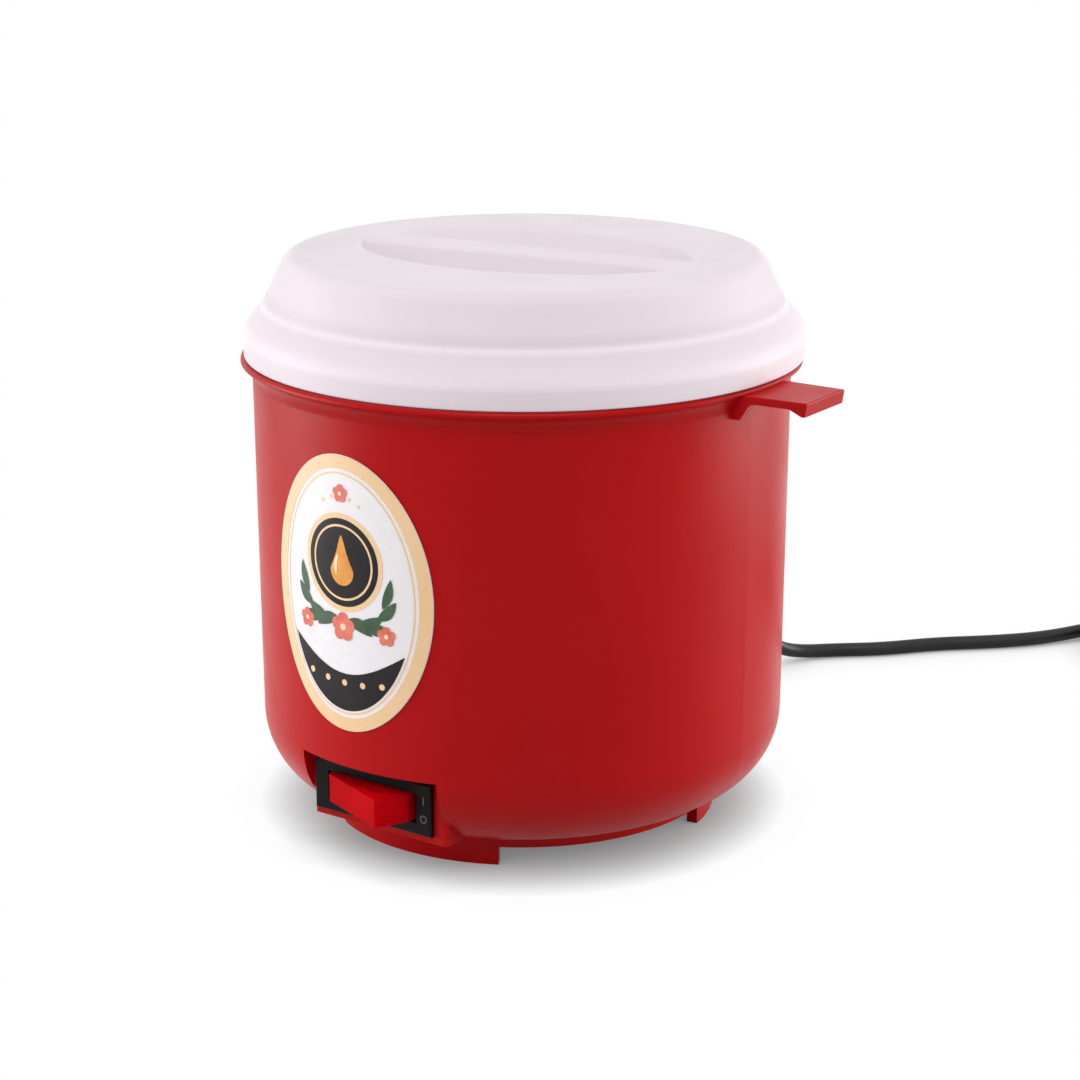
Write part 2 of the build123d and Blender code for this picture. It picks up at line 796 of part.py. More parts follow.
with BuildPart() as thermostat_body:
    with BuildSketch(Plane.XY.offset(thermostat_low)):
        with Locations((thermostat_x, 0)):
            Circle(thermostat_radius)
    extrude(amount=thermostat_height)
thermostat_body.part.label = "thermostat_body"
export_step(thermostat_body.part, "parts/thermostat_body.step")

with BuildPart() as thermostat_terminals:
    with BuildSketch(Plane.XY.offset(thermostat_tab_low)):
        with Locations(*thermostat_tab_places):
            Rectangle(thermostat_tab_thickness, thermostat_tab_width)
    extrude(amount=thermostat_tab_length)
thermostat_terminals.part.label = "thermostat_terminals"
export_step(thermostat_terminals.part, "parts/thermostat_terminals.step")

screw_head_low = ear_low - press_gap - screw_head_height
with BuildPart() as thermostat_screws:
    with BuildSketch(Plane.XY.offset(screw_head_low)):
        with Locations(*ear_holes):
            Circle(screw_head_radius)
    extrude(amount=screw_head_height)
    with BuildSketch(Plane.XY.offset(screw_head_low)):
        with Locations(*ear_holes):
            Circle(screw_radius)
    extrude(amount=plate_low + clamp_plate_thickness - press_gap - screw_head_low)
thermostat_screws.part.label = "thermostat_screws"
export_step(thermostat_screws.part, "parts/thermostat_screws.step")

# Thermal fuse with its two leads, lying along X against the clamp plate
fuse_height = plate_face - fuse_radius
fuse_half = fuse_length / 2
lead_end = fuse_half + fuse_lead_length
fuse_outline = [
    (-lead_end, 0),
    (lead_end, 0),
    (lead_end, fuse_lead_radius),
    (fuse_half, fuse_lead_radius),
    (fuse_half, fuse_radius),
    (-fuse_half, fuse_radius),
    (-fuse_half, fuse_lead_radius),
    (-lead_end, fuse_lead_radius),
]
fuse_plane = Plane(origin=(fuse_x, fuse_y, fuse_height), x_dir=(1, 0, 0), z_dir=(0, 0, 1))
with BuildPart() as thermal_fuse:
    with BuildSketch(fuse_plane):
        with BuildLine():
            Polyline(*fuse_outline, close=True)
        make_face()
    revolve(axis=Axis((fuse_x, fuse_y, fuse_height), (1, 0, 0)))
thermal_fuse.part.label = "thermal_fuse"
export_step(thermal_fuse.part, "parts/thermal_fuse.step")

# Switch case with its bezel, snapped into the panel
bezel_back = -panel_distance - press_gap
bezel_front = bezel_back - bezel_thickness
pivot_y = bezel_front + pivot_depth
case_back = bezel_back + case_depth
panel_inside = body_wall - panel_distance
blade_end = case_back + blade_outside
blade_columns = [-switch_aside + side * blade_spacing for side in (-1, 0, 1)]
with BuildPart() as switch_housing:
    with Locations((-switch_aside, bezel_back, switch_height)):
        Box(bezel_length, bezel_thickness, bezel_height, align=(Align.CENTER, Align.MAX, Align.CENTER))
    chamfer(switch_housing.faces().sort_by(Axis.Y)[0].edges(), bezel_round)
    with Locations((-switch_aside, bezel_back, switch_height)):
        Box(case_length, case_depth, case_height, align=(Align.CENTER, Align.MIN, Align.CENTER))
    with Locations((-switch_aside, panel_inside + press_gap, switch_height)):
        Box(
            case_length + 2 * snap_rise,
            snap_length,
            snap_height,
            align=(Align.CENTER, Align.MIN, Align.CENTER),
        )
    with Locations((-switch_aside, case_back - case_back_wall, switch_height)):
        Box(
            2 * case_opening_half_length,
            case_depth + bezel_thickness,
            2 * case_opening_half_height,
            align=(Align.CENTER, Align.MAX, Align.CENTER),
            mode=Mode.SUBTRACT,
        )
    with Locations((-switch_aside, pivot_y, switch_height)):
        Cylinder(trunnion_radius + running_fit, bezel_height, mode=Mode.SUBTRACT)
    with Locations(*[(column, case_back, switch_height) for column in blade_columns]):
        Box(
            blade_thickness + 2 * press_gap,
            2 * (case_back_wall + overrun),
            blade_height + 2 * press_gap,
            mode=Mode.SUBTRACT,
        )
switch_housing.part.label = "switch_housing"
export_step(switch_housing.part, "parts/switch_housing.step")

# Rocker, drawn as it rests: right side pressed in, ridge to the right of the pivot,
# with an oval window over the lamp in its upper side
rocker_skin = [
    (-switch_aside - rocker_left, pivot_y + rocker_skirt, 0),
    (-switch_aside - rocker_left, pivot_y - rocker_left_rise, rocker_round),
    (-switch_aside + ridge_shift, pivot_y - ridge_rise, rocker_round),
    (-switch_aside + rocker_right, pivot_y - rocker_right_rise, rocker_round),
    (-switch_aside + rocker_right, pivot_y + rocker_skirt, 0),
]
rocker_inner = inset(rocker_skin, rocker_wall)
tilt = math.radians(rocker_tilt)
plunger_direction = Vector(-math.sin(tilt), math.cos(tilt), 0)
pivot = Vector(-switch_aside, pivot_y, switch_height)
lamp_place = (lamp_x - switch_aside, pivot_y - lamp_rise)


def plunger_plane(distance):
    """Plane square to the plunger, at a distance from the pivot into the switch."""
    return Plane(origin=pivot + plunger_direction * distance, z_dir=plunger_direction)


with BuildPart() as switch_rocker:
    with BuildSketch(Plane.XY.offset(switch_height)):
        with BuildLine():
            FilletPolyline(*corners(rocker_skin), radius=roundings(rocker_skin), close=True)
        make_face()
    extrude(amount=rocker_half_height, both=True)
    with BuildSketch(Plane.XY.offset(switch_height)):
        with BuildLine():
            Polyline(*corners(rocker_inner), close=True)
        make_face()
    extrude(amount=rocker_half_height - rocker_wall, both=True, mode=Mode.SUBTRACT)
    with BuildSketch(Plane.XY.offset(switch_height)):
        with Locations(lamp_place):
            Ellipse(lamp_window_half_length, lamp_window_half_width)
    extrude(amount=bezel_height, mode=Mode.SUBTRACT)
    with Locations(pivot):
        Cylinder(trunnion_radius, 2 * (case_opening_half_height + trunnion_reach))
    with BuildSketch(plunger_plane(-guide_back)):
        Circle(guide_radius)
    extrude(amount=guide_back + guide_front)
    with BuildSketch(plunger_plane(guide_wall - guide_back)):
        Circle(plunger_radius + press_gap)
    extrude(amount=guide_back + guide_front, mode=Mode.SUBTRACT)
switch_rocker.part.label = "switch_rocker"
export_step(switch_rocker.part, "parts/switch_rocker.step")

with BuildPart() as switch_plunger:
    with BuildSketch(plunger_plane(plunger_tip - plunger_length)):
        Circle(plunger_radius)
    extrude(amount=plunger_length)
    fillet(switch_plunger.faces().sort_by(Axis.Y)[-1].edges(), plunger_radius - spring_wire)
switch_plunger.part.label = "switch_plunger"
export_step(switch_plunger.part, "parts/switch_plunger.step")

# Spring behind the plunger: half turns, each of two arcs that climb half a pitch
spring_low = guide_wall - guide_back + spring_wire
spring_plane = plunger_plane(spring_low)
with BuildPart() as plunger_spring:
    with BuildLine() as spring_path:
        for half_turn in range(spring_half_turn_count):
            side = 1 if half_turn % 2 == 0 else -1
            rise = spring_pitch / 2
            first = Vector(side * spring_radius, 0, half_turn * rise)
            last = Vector(-side * spring_radius, 0, (half_turn + 1) * rise)
            chord = (last - first).length / 2
            crest = (first + last) / 2 + Vector(0, side * chord, 0)
            for foot, head in ((first, crest), (crest, last)):
                heading = Vector(0, side, 0) if foot is first else (last - first).normalized()
                TangentArc(
                    spring_plane.from_local_coords(foot),
                    spring_plane.from_local_coords(head),
                    tangent=spring_plane.from_local_coords(heading) - spring_plane.origin,
                )
    with BuildSketch(start_plane(spring_path.wire())):
        Circle(spring_wire / 2)
    sweep(path=spring_path.wire())
plunger_spring.part.label = "plunger_spring"
export_step(plunger_spring.part, "parts/plunger_spring.step")
report_tube("plunger spring", plunger_spring.part, spring_path.wire(), spring_wire / 2)
print(f"plunger spring: least gap {least_gap(spring_path.wire(), spring_wire):.2f}")

# Glow lamp across the hollow of the rocker
lamp_half = rocker_half_height - rocker_wall - press_gap
with BuildPart() as neon_lamp:
    with BuildSketch(Plane.XY.offset(switch_height)):
        with Locations(lamp_place):
            Circle(lamp_radius)
    extrude(amount=lamp_half, both=True)
neon_lamp.part.label = "neon_lamp"
export_step(neon_lamp.part, "parts/neon_lamp.step")

# See-saw contact lever behind the plunger, and the three blades of the switch
lever_front = pivot_y + plunger_tip + lever_gap
lever_turn = -math.radians(lever_tilt)
lever_along = Vector(math.cos(lever_turn), math.sin(lever_turn), 0)
lever_plane = Plane(
    origin=(-switch_aside, lever_front + lever_thickness / 2, switch_height),
    x_dir=lever_along,
    z_dir=(0, 0, 1),
)
with BuildPart() as contact_lever:
    with BuildSketch(lever_plane):
        Rectangle(2 * lever_half_length, lever_thickness)
        Circle(lever_knuckle_radius)
    extrude(amount=lever_height / 2, both=True)
contact_lever.part.label = "contact_lever"
export_step(contact_lever.part, "parts/contact_lever.step")

lever_dip = blade_spacing * math.tan(math.radians(lever_tilt))
common_tip = lever_front + lever_thickness + contact_gap
load_tip = common_tip + lever_dip
blade_tips = (load_tip, common_tip, case_back - case_back_wall)
with BuildPart() as switch_terminals:
    for column, tip in zip(blade_columns, blade_tips):
        with Locations((column, tip, switch_height)):
            Box(
                blade_thickness,
                blade_end - tip,
                blade_height,
                align=(Align.CENTER, Align.MIN, Align.CENTER),
            )
switch_terminals.part.label = "switch_terminals"
export_step(switch_terminals.part, "parts/switch_terminals.step")

# Strain relief bush in the back wall, with the cord through it and a crimped stop inside
cord_wall = wall_radius_at(cord_exit_height)
bush_inner = cord_wall - body_wall - bush_lock_gap
bush_start = bush_inner - bush_lock
bush_flange_back = wall_radius_at(cord_exit_height + bush_flange_radius) + press_gap
bush_flange_front = bush_flange_back + bush_flange
bush_tip = cord_wall + bush_length
bush_outline = [
    (bush_start, cord_bore),
    (bush_tip, cord_bore),
    (bush_tip, bush_tip_radius),
    (bush_flange_front, bush_wide_radius),
    (bush_flange_front, bush_flange_radius),
    (bush_flange_back, bush_flange_radius),
    (bush_flange_back, bush_neck_radius),
    (bush_inner, bush_neck_radius),
    (bush_inner, bush_neck_radius + bush_lock_rise),
    (bush_start, bush_neck_radius + bush_lock_rise),
]
cord_axis = Axis((0, 0, cord_exit_height), (0, 1, 0))
cord_side_plane = Plane(origin=(0, 0, cord_exit_height), x_dir=(0, 1, 0), z_dir=(1, 0, 0))
with BuildPart() as cord_bush:
    with BuildSketch(cord_side_plane):
        with BuildLine():
            Polyline(*bush_outline, close=True)
        make_face()
    revolve(axis=cord_axis)
cord_bush.part.label = "cord_bush"
export_step(cord_bush.part, "parts/cord_bush.step")

entry_end = bush_tip - press_gap
cord_inner_end = bush_start - inner_cord_length
with BuildPart() as cord_entry:
    with BuildSketch(Plane.XZ.offset(-entry_end)):
        with Locations((0, cord_exit_height)):
            Circle(cord_radius)
    extrude(amount=entry_end - cord_inner_end)
cord_entry.part.label = "cord_entry"
export_step(cord_entry.part, "parts/cord_entry.step")

with BuildPart() as cord_stop:
    with BuildSketch(Plane.XZ.offset(press_gap - bush_start)):
        with Locations((0, cord_exit_height)):
            Circle(stop_radius)
            Circle(cord_bore, mode=Mode.SUBTRACT)
    extrude(amount=stop_length)
cord_stop.part.label = "cord_stop"
export_step(cord_stop.part, "parts/cord_stop.step")

# Inner wiring: each wire leaves and meets its terminals straight on, and bends freely in between
headroom = plate_low - body_floor
core_start = cord_inner_end - press_gap
terminal_end = blade_end + press_gap
element_tab_low = plate_low - element_tab_drop - press_gap
thermostat_wire_top = thermostat_tab_low - press_gap
wire_drop = wire_drop_share * (thermostat_wire_top - body_floor - body_wall)


def inside(shares):
    """A place in the body's inner space, as shares of the mica's radius (x, y) and of the headroom."""
    x_share, y_share, up_share = shares
    return (x_share * mica_radius, y_share * mica_radius, body_floor + up_share * headroom)


live_shares = [(-0.12, 0.30, 0.42), (-0.14, -0.15, 0.30)]
switched_shares = [(-0.44, -0.20, 0.17)]
fuse_feed_shares = [(-0.34, 0.24, 0.30), (-0.20, 0.42, 0.70)]
fuse_return_shares = [(0.62, 0.22, 0.62), (0.42, 0.06, 0.42)]
neutral_shares = [(0.34, 0.64, 0.52), (0.76, 0.30, 0.34)]
lamp_shares = [(0.40, -0.34, 0.44), (0.58, -0.14, 0.68)]
live_route = [
    (-core_offset, core_start, cord_exit_height),
    (-core_offset, core_start - wire_lead, cord_exit_height),
    *map(inside, live_shares),
    (blade_columns[1], terminal_end + wire_lead, switch_height),
    (blade_columns[1], terminal_end, switch_height),
]
switched_route = [
    (blade_columns[0], terminal_end, switch_height),
    (blade_columns[0], terminal_end + wire_lead, switch_height),
    *map(inside, switched_shares),
    (thermostat_tab_places[0][0], 0, thermostat_wire_top - wire_drop),
    (thermostat_tab_places[0][0], 0, thermostat_wire_top),
]
fuse_feed_route = [
    (thermostat_tab_places[1][0], 0, thermostat_wire_top),
    (thermostat_tab_places[1][0], 0, thermostat_wire_top - wire_drop),
    *map(inside, fuse_feed_shares),
    (fuse_x - lead_end - wire_lead, fuse_y, fuse_height),
    (fuse_x - lead_end - press_gap, fuse_y, fuse_height),
]
fuse_return_route = [
    (fuse_x + lead_end + press_gap, fuse_y, fuse_height),
    (fuse_x + lead_end + wire_lead, fuse_y, fuse_height),
    *map(inside, fuse_return_shares),
    (ribbon_inner_end, 0, element_tab_low - wire_lead),
    (ribbon_inner_end, 0, element_tab_low),
]
neutral_route = [
    (core_offset, core_start, cord_exit_height),
    (core_offset, core_start - wire_lead, cord_exit_height),
    *map(inside, neutral_shares),
    (ribbon_outer_radius, 0, element_tab_low - wire_lead),
    (ribbon_outer_radius, 0, element_tab_low),
]
element_tab_face = ribbon_outer_radius - element_tab_thickness / 2 - press_gap
lamp_wire_height = plate_low - element_tab_drop / 2
lamp_route = [
    (blade_columns[2], terminal_end, switch_height),
    (blade_columns[2], terminal_end + wire_lead, switch_height),
    *map(inside, lamp_shares),
    (element_tab_face - wire_lead, 0, lamp_wire_height),
    (element_tab_face, 0, lamp_wire_height),
]
wire_routes = {
    "live_wire": live_route,
    "switched_wire": switched_route,
    "fuse_feed_wire": fuse_feed_route,
    "fuse_return_wire": fuse_return_route,
    "neutral_wire": neutral_route,
    "lamp_wire": lamp_route,
}
for wire_name, route in wire_routes.items():
    with BuildPart() as inner_wire:
        with BuildLine() as wire_path:
            FilletPolyline(*route, radius=route_radii(route))
        with BuildSketch(start_plane(wire_path.wire())):
            Circle(wire_radius)
        sweep(path=wire_path.wire())
    inner_wire.part.label = wire_name
    export_step(inner_wire.part, f"parts/{wire_name}.step")
    report_tube(wire_name, inner_wire.part, wire_path.wire(), wire_radius)

# Cord that lies free: out of the bush, down to the surface and away behind the body to the right
coil_height = cord_radius + tie_gap + tie_wall + press_gap
cord_lie = cord_radius + press_gap
cord_route = [
    (0, bush_tip, cord_exit_height),
    (0, 101.5, cord_exit_height),
    (0, 112.0, 29.0),
    (0.2, 121.0, 21.0),
    (0.6, 129.0, 12.2),
    (2.0, 137.4, 5.6),
    (5.4, 146.2, 2.7),
    (12.8, 155.2, cord_lie),
    (24.6, 164.8, cord_lie),
    (36.5, 180.0, cord_lie),
    (50.7, 192.5, cord_lie),
    (63.0, 206.0, 2.4),
    (72.2, 222.0, coil_height),
    (79.6, 236.0, coil_height),
]
with BuildPart() as cord_run:
    with BuildLine() as cord_path:
        FilletPolyline(*cord_route, radius=route_radii(cord_route))
    with BuildSketch(start_plane(cord_path.wire())):
        Circle(cord_radius)
    sweep(path=cord_path.wire())
cord_run.part.label = "cord_run"
export_step(cord_run.part, "parts/cord_run.step")
report_tube("cord run", cord_run.part, cord_path.wire(), cord_radius)
print("cord run radii:", [round(radius, 1) for radius in route_radii(cord_route)])

# Coil of the rest of the cord: spirals in, climbs a layer in one half turn and spirals out again
run_end = Vector(*cord_route[-1])
run_step = run_end - Vector(*cord_route[-2])
travel = Vector(run_step.X, run_step.Y, 0).normalized()
outwards = Vector(-travel.Y, travel.X, 0)
coil_entry = run_end + travel * (cord_diameter + press_gap)
coil_centre = coil_entry - outwards * coil_outer_radius
radii_in = [coil_outer_radius - turn * coil_step for turn in range(coil_in_count + 1)]
radii_out = [radii_in[-1] + (turn + 1) * coil_step for turn in range(coil_out_count)]
coil_radii = radii_in + radii_out
climb_turn = coil_in_count
with BuildPart() as cord_coil:
    with BuildLine() as coil_path:
        Line(run_end + travel * press_gap, coil_entry)
        place = coil_entry
        for half_turn, bend in enumerate(coil_radii):
            side = 1 if half_turn % 2 == 0 else -1
            rise = coil_layer if half_turn == climb_turn else 0
            after = place - outwards * (side * 2 * bend) + Vector(0, 0, rise)
            chord = (after - place).length / 2
            crest = (place + after) / 2 + travel * (side * chord)
            quarter = TangentArc(place, crest, tangent=travel * side)
            TangentArc(crest, after, tangent=quarter % 1)
            place = after
        coil_exit = place
        Line(coil_exit, coil_exit + travel * tail_length)
    with BuildSketch(start_plane(coil_path.wire())):
        Circle(cord_radius)
    sweep(path=coil_path.wire())
cord_coil.part.label = "cord_coil"
export_step(cord_coil.part, "parts/cord_coil.step")
report_tube("cord coil", cord_coil.part, coil_path.wire(), cord_radius)
print(f"cord coil: least gap {least_gap(coil_path.wire(), cord_diameter):.2f}")

# Strap round the turns of the coil, on its far side
tie_inner = coil_radii[climb_turn] - cord_radius - tie_side_gap
tie_outer = coil_outer_radius + cord_radius + tie_side_gap
tie_low = coil_height - cord_radius - tie_gap
tie_high = coil_height + coil_layer + cord_radius + tie_gap
tie_plane = Plane(
    origin=(coil_centre.X, coil_centre.Y, 0),
    x_dir=travel,
    z_dir=travel.cross(Vector(0, 0, 1)),
)
with BuildPart() as cord_tie:
    with BuildSketch(tie_plane):
        with Locations(((tie_inner + tie_outer) / 2, (tie_low + tie_high) / 2)):
            Rectangle(tie_outer - tie_inner + 2 * tie_wall, tie_high - tie_low + 2 * tie_wall)
            Rectangle(tie_outer - tie_inner, tie_high - tie_low, mode=Mode.SUBTRACT)
    extrude(amount=tie_width / 2, both=True)
cord_tie.part.label = "cord_tie"
export_step(cord_tie.part, "parts/cord_tie.step")

# Two-pin plug on the end of the tail, lying on the surface beside the coil
tail_end = coil_exit + travel * (tail_length + press_gap)
plug_back = tail_end + travel * plug_relief_length
plug_face = plug_back + travel * plug_length
plug_thickness = 2 * tail_end.Z


def plug_plane(place):
    """Plane square to the plug, with its X axis level."""
    return Plane(origin=place, x_dir=-outwards, z_dir=travel)


with BuildPart() as plug_body:
    with BuildSketch(plug_plane(plug_back)):
        RectangleRounded(plug_width, plug_thickness, plug_round)
    extrude(amount=plug_length)
    fillet(plug_body.edges().filter_by(plug_plane(plug_back)), plug_edge_round)
    with BuildSketch(plug_plane(tail_end)):
        Circle(plug_relief_radius)
    with BuildSketch(plug_plane(plug_back)):
        Circle(plug_relief_wide_radius)
    loft()
plug_body.part.label = "plug_body"
export_step(plug_body.part, "parts/plug_body.step")

with BuildPart() as plug_pins:
    with BuildSketch(plug_plane(plug_face + travel * press_gap)):
        with Locations((pin_spacing / 2, 0), (-pin_spacing / 2, 0)):
            Circle(pin_radius)
    extrude(amount=pin_length)
    pin_ends = [pin.faces().sort_by(Axis(plug_face, travel))[-1] for pin in plug_pins.solids()]
    fillet([edge for end in pin_ends for edge in end.edges()], pin_tip_round)
plug_pins.part.label = "plug_pins"
export_step(plug_pins.part, "parts/plug_pins.step")

cord_length = cord_entry.part.bounding_box().size.Y + cord_path.wire().length + coil_path.wire().length
print(f"cord length in all {cord_length:.0f}")
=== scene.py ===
"""Electric wax warmer in a white studio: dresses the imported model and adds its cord, print and trim."""

import logging
import math
from collections.abc import Callable
from dataclasses import dataclass
from enum import Enum

import bmesh
import bpy
from mathutils import Matrix, Vector


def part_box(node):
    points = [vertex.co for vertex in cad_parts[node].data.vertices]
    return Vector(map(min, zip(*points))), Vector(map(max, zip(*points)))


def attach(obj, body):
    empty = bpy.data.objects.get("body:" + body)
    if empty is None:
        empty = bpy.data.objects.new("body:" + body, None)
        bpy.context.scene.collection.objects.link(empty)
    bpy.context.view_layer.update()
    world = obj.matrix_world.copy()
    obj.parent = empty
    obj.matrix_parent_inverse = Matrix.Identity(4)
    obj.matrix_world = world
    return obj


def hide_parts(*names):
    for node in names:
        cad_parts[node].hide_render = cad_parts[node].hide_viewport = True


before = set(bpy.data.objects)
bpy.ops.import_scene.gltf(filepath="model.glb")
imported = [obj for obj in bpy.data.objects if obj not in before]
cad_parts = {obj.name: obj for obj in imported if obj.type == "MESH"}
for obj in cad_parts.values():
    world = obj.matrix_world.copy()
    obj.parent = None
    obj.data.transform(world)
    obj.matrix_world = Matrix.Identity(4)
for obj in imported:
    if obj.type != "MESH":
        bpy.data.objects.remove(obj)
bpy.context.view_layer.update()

log = logging.getLogger("wax_warmer")

Colour = tuple[float, float, float, float]
Point = tuple[float, float]
Outline = list[Point]
Ring = tuple[Outline, Outline]
MM = 0.001
SHARP_ANGLE = math.radians(38.0)
MERGE_DISTANCE = 0.000001
SLICE_WIDTH = 1.6  # widest strip of a print that stays flat, in millimetres

NOISE_RANGE = (0.3, 0.7)  # what a noise field spans
BLEND_RANGE = (0.35, 0.65)  # where a blend of two colours starts and ends
PLAIN_DETAIL = 2.0
GRAIN_DETAIL = 3.0
FINE_DETAIL = 4.0
GLOSS_TO_DRIFT = 4  # marks of gloss to one mark of colour
COAT_ROUGHNESS = 0.12
SCATTER = (1.0, 0.8, 0.85)
METAL_DRIFT_SCALE = 60.0
METAL_RELIEF = 0.3
LATHE_WOBBLE = 1.5
BRUSHING = (0.06, 1.0, 1.0)
CLEAR_DRIFT_SCALE = 120.0
CLEAR_GLOSS_SCALE = 300.0


def screen(red: int, green: int, blue: int) -> Colour:
    """Turns a screen colour, 0 to 255 a channel, into linear light."""
    shares = [channel / 255 for channel in (red, green, blue)]
    light = [share / 12.92 if share <= 0.04045 else ((share + 0.055) / 1.055) ** 2.4 for share in shares]
    return (light[0], light[1], light[2], 1.0)


def grey(level: float) -> Colour:
    """Gives a neutral colour of linear light."""
    return (level, level, level, 1.0)


class Grain(Enum):
    """How the fine marks of a finish run."""

    EVEN = "even"
    TURNED = "turned"
    BRUSHED = "brushed"


class Recipe:
    """One material's node tree, with short calls for the nodes that the finishes share."""

    def __init__(self, name: str) -> None:
        """Starts a material with one principled shader.

        Args:
            name: Name of the new material.
        """
        self.material = bpy.data.materials.new(name)
        self.material.use_nodes = True
        self.nodes = self.material.node_tree.nodes
        self.links = self.material.node_tree.links
        self.shader = self.nodes["Principled BSDF"]
        self.place = self.nodes.new("ShaderNodeTexCoord").outputs["Object"]

    def put(self, socket: str, value: object) -> None:
        """Sets one socket of the shader."""
        self.shader.inputs[socket].default_value = value

    def feed(self, socket: str, output: bpy.types.NodeSocket) -> None:
        """Leads an output to one socket of the shader."""
        self.links.new(output, self.shader.inputs[socket])

    def stretched(self, scale: tuple[float, float, float]) -> bpy.types.NodeSocket:
        """Gives the piece's own coordinates, scaled along each axis.

        Args:
            scale: Factor along X, Y and Z.

        Returns:
            The scaled coordinates.
        """
        mapping = self.nodes.new("ShaderNodeMapping")
        mapping.inputs["Scale"].default_value = scale
        self.links.new(self.place, mapping.inputs["Vector"])
        return mapping.outputs["Vector"]

    def noise(
        self, scale: float, detail: float = PLAIN_DETAIL, place: bpy.types.NodeSocket | None = None
    ) -> bpy.types.NodeSocket:
        """Makes a noise field.

        Args:
            scale: Marks to a metre.
            detail: Finer layers on top of the first.
            place: Coordinates to read, the piece's own if left out.

        Returns:
            The field, about 0.3 to 0.7.
        """
        node = self.nodes.new("ShaderNodeTexNoise")
        node.inputs["Scale"].default_value = scale
        node.inputs["Detail"].default_value = detail
        self.links.new(place or self.place, node.inputs["Vector"])
        return node.outputs["Fac"]

    def rings(self, scale: float, wobble: float) -> bpy.types.NodeSocket:
        """Makes fine rings about the Z axis, as a lathe leaves them.

        Args:
            scale: Rings to a metre.
            wobble: How uneven they are.

        Returns:
            The field, 0 to 1.
        """
        node = self.nodes.new("ShaderNodeTexWave")
        node.wave_type = "RINGS"
        node.rings_direction = "Z"
        node.inputs["Scale"].default_value = scale
        node.inputs["Distortion"].default_value = wobble
        node.inputs["Detail"].default_value = PLAIN_DETAIL
        self.links.new(self.place, node.inputs["Vector"])
        return node.outputs["Fac"]

    def blend(self, field: bpy.types.NodeSocket, first: Colour, second: Colour) -> bpy.types.NodeSocket:
        """Blends two colours by a noise field.

        Args:
            field: The field to read.
            first: Colour where the field is low.
            second: Colour where the field is high.

        Returns:
            The blended colour.
        """
        ramp = self.nodes.new("ShaderNodeValToRGB")
        for element, position, colour in zip(ramp.color_ramp.elements, BLEND_RANGE, (first, second)):
            element.position = position
            element.color = colour
        self.links.new(field, ramp.inputs["Fac"])
        return ramp.outputs["Color"]

    def span(self, field: bpy.types.NodeSocket, low: float, high: float) -> bpy.types.NodeSocket:
        """Spreads a noise field over a range of numbers.

        Args:
            field: The field to read.
            low: Number where the field is low.
            high: Number where the field is high.

        Returns:
            The numbers.
        """
        node = self.nodes.new("ShaderNodeMapRange")
        node.inputs["From Min"].default_value = NOISE_RANGE[0]
        node.inputs["From Max"].default_value = NOISE_RANGE[1]
        node.inputs["To Min"].default_value = low
        node.inputs["To Max"].default_value = high
        self.links.new(field, node.inputs["Value"])
        return node.outputs["Result"]

    def by_height(self, stops: tuple[tuple[float, float], ...]) -> bpy.types.NodeSocket:
        """Makes a number that changes with the height on the piece.

        Args:
            stops: Heights in metres, from the lowest up, each with its number from 0 to 1.

        Returns:
            The numbers.
        """
        low = stops[0][0]
        high = stops[-1][0]
        parts = self.nodes.new("ShaderNodeSeparateXYZ")
        self.links.new(self.place, parts.inputs["Vector"])
        share = self.nodes.new("ShaderNodeMapRange")
        share.inputs["From Min"].default_value = low
        share.inputs["From Max"].default_value = high
        self.links.new(parts.outputs["Z"], share.inputs["Value"])
        ramp = self.nodes.new("ShaderNodeValToRGB")
        elements = ramp.color_ramp.elements
        for _ in stops[2:]:
            elements.new(1.0)
        for element, (height, number) in zip(elements, stops):
            element.position = (height - low) / (high - low)
            element.color = grey(number)
        self.links.new(share.outputs["Result"], ramp.inputs["Fac"])
        return ramp.outputs["Color"]

    def roughen(self, height: bpy.types.NodeSocket, depth: float, strength: float) -> None:
        """Lets a field stand out of the surface as fine relief.

        Args:
            height: The field.
            depth: Height of the relief in metres.
            strength: Share of the relief that shows.
        """
        node = self.nodes.new("ShaderNodeBump")
        node.inputs["Distance"].default_value = depth
        node.inputs["Strength"].default_value = strength
        self.links.new(height, node.inputs["Height"])
        self.feed("Normal", node.outputs["Normal"])


@dataclass(frozen=True)
class Moulding:
    """Moulded plastic, rubber or pressed sheet: drifting colour, uneven gloss and a fine grain."""

    name: str
    colour: Colour
    drift: Colour
    gloss: tuple[float, float]
    drift_scale: float = 28.0
    grain_scale: float = 1800.0
    grain_depth: float = 0.00004
    grain_strength: float = 0.25
    specular: float = 0.5
    coat: float = 0.0
    subsurface: float = 0.0
    subsurface_depth: float = 0.002
    # Painted light: emission strength by height, as pairs of height and strength; empty for none.
    painted_glow: tuple[tuple[float, float], ...] = ()

    def material(self) -> bpy.types.Material:
        """Makes the material.

        Returns:
            The finished material.
        """
        recipe = Recipe(self.name)
        recipe.feed("Base Color", recipe.blend(recipe.noise(self.drift_scale), self.colour, self.drift))
        gloss_marks = recipe.noise(self.drift_scale * GLOSS_TO_DRIFT, FINE_DETAIL)
        recipe.feed("Roughness", recipe.span(gloss_marks, *self.gloss))
        grain = recipe.noise(self.grain_scale, GRAIN_DETAIL)
        recipe.roughen(grain, self.grain_depth, self.grain_strength)
        recipe.put("Specular IOR Level", self.specular)
        if self.coat:
            recipe.put("Coat Weight", self.coat)
            recipe.put("Coat Roughness", COAT_ROUGHNESS)
        if self.subsurface:
            recipe.put("Subsurface Weight", self.subsurface)
            recipe.put("Subsurface Radius", SCATTER)
            recipe.put("Subsurface Scale", self.subsurface_depth)
        # Painted light: the piece glows in its own colour, as strongly as the heights give.
        if self.painted_glow:
            recipe.put("Emission Color", self.colour)
            recipe.feed("Emission Strength", recipe.by_height(self.painted_glow))
        return recipe.material


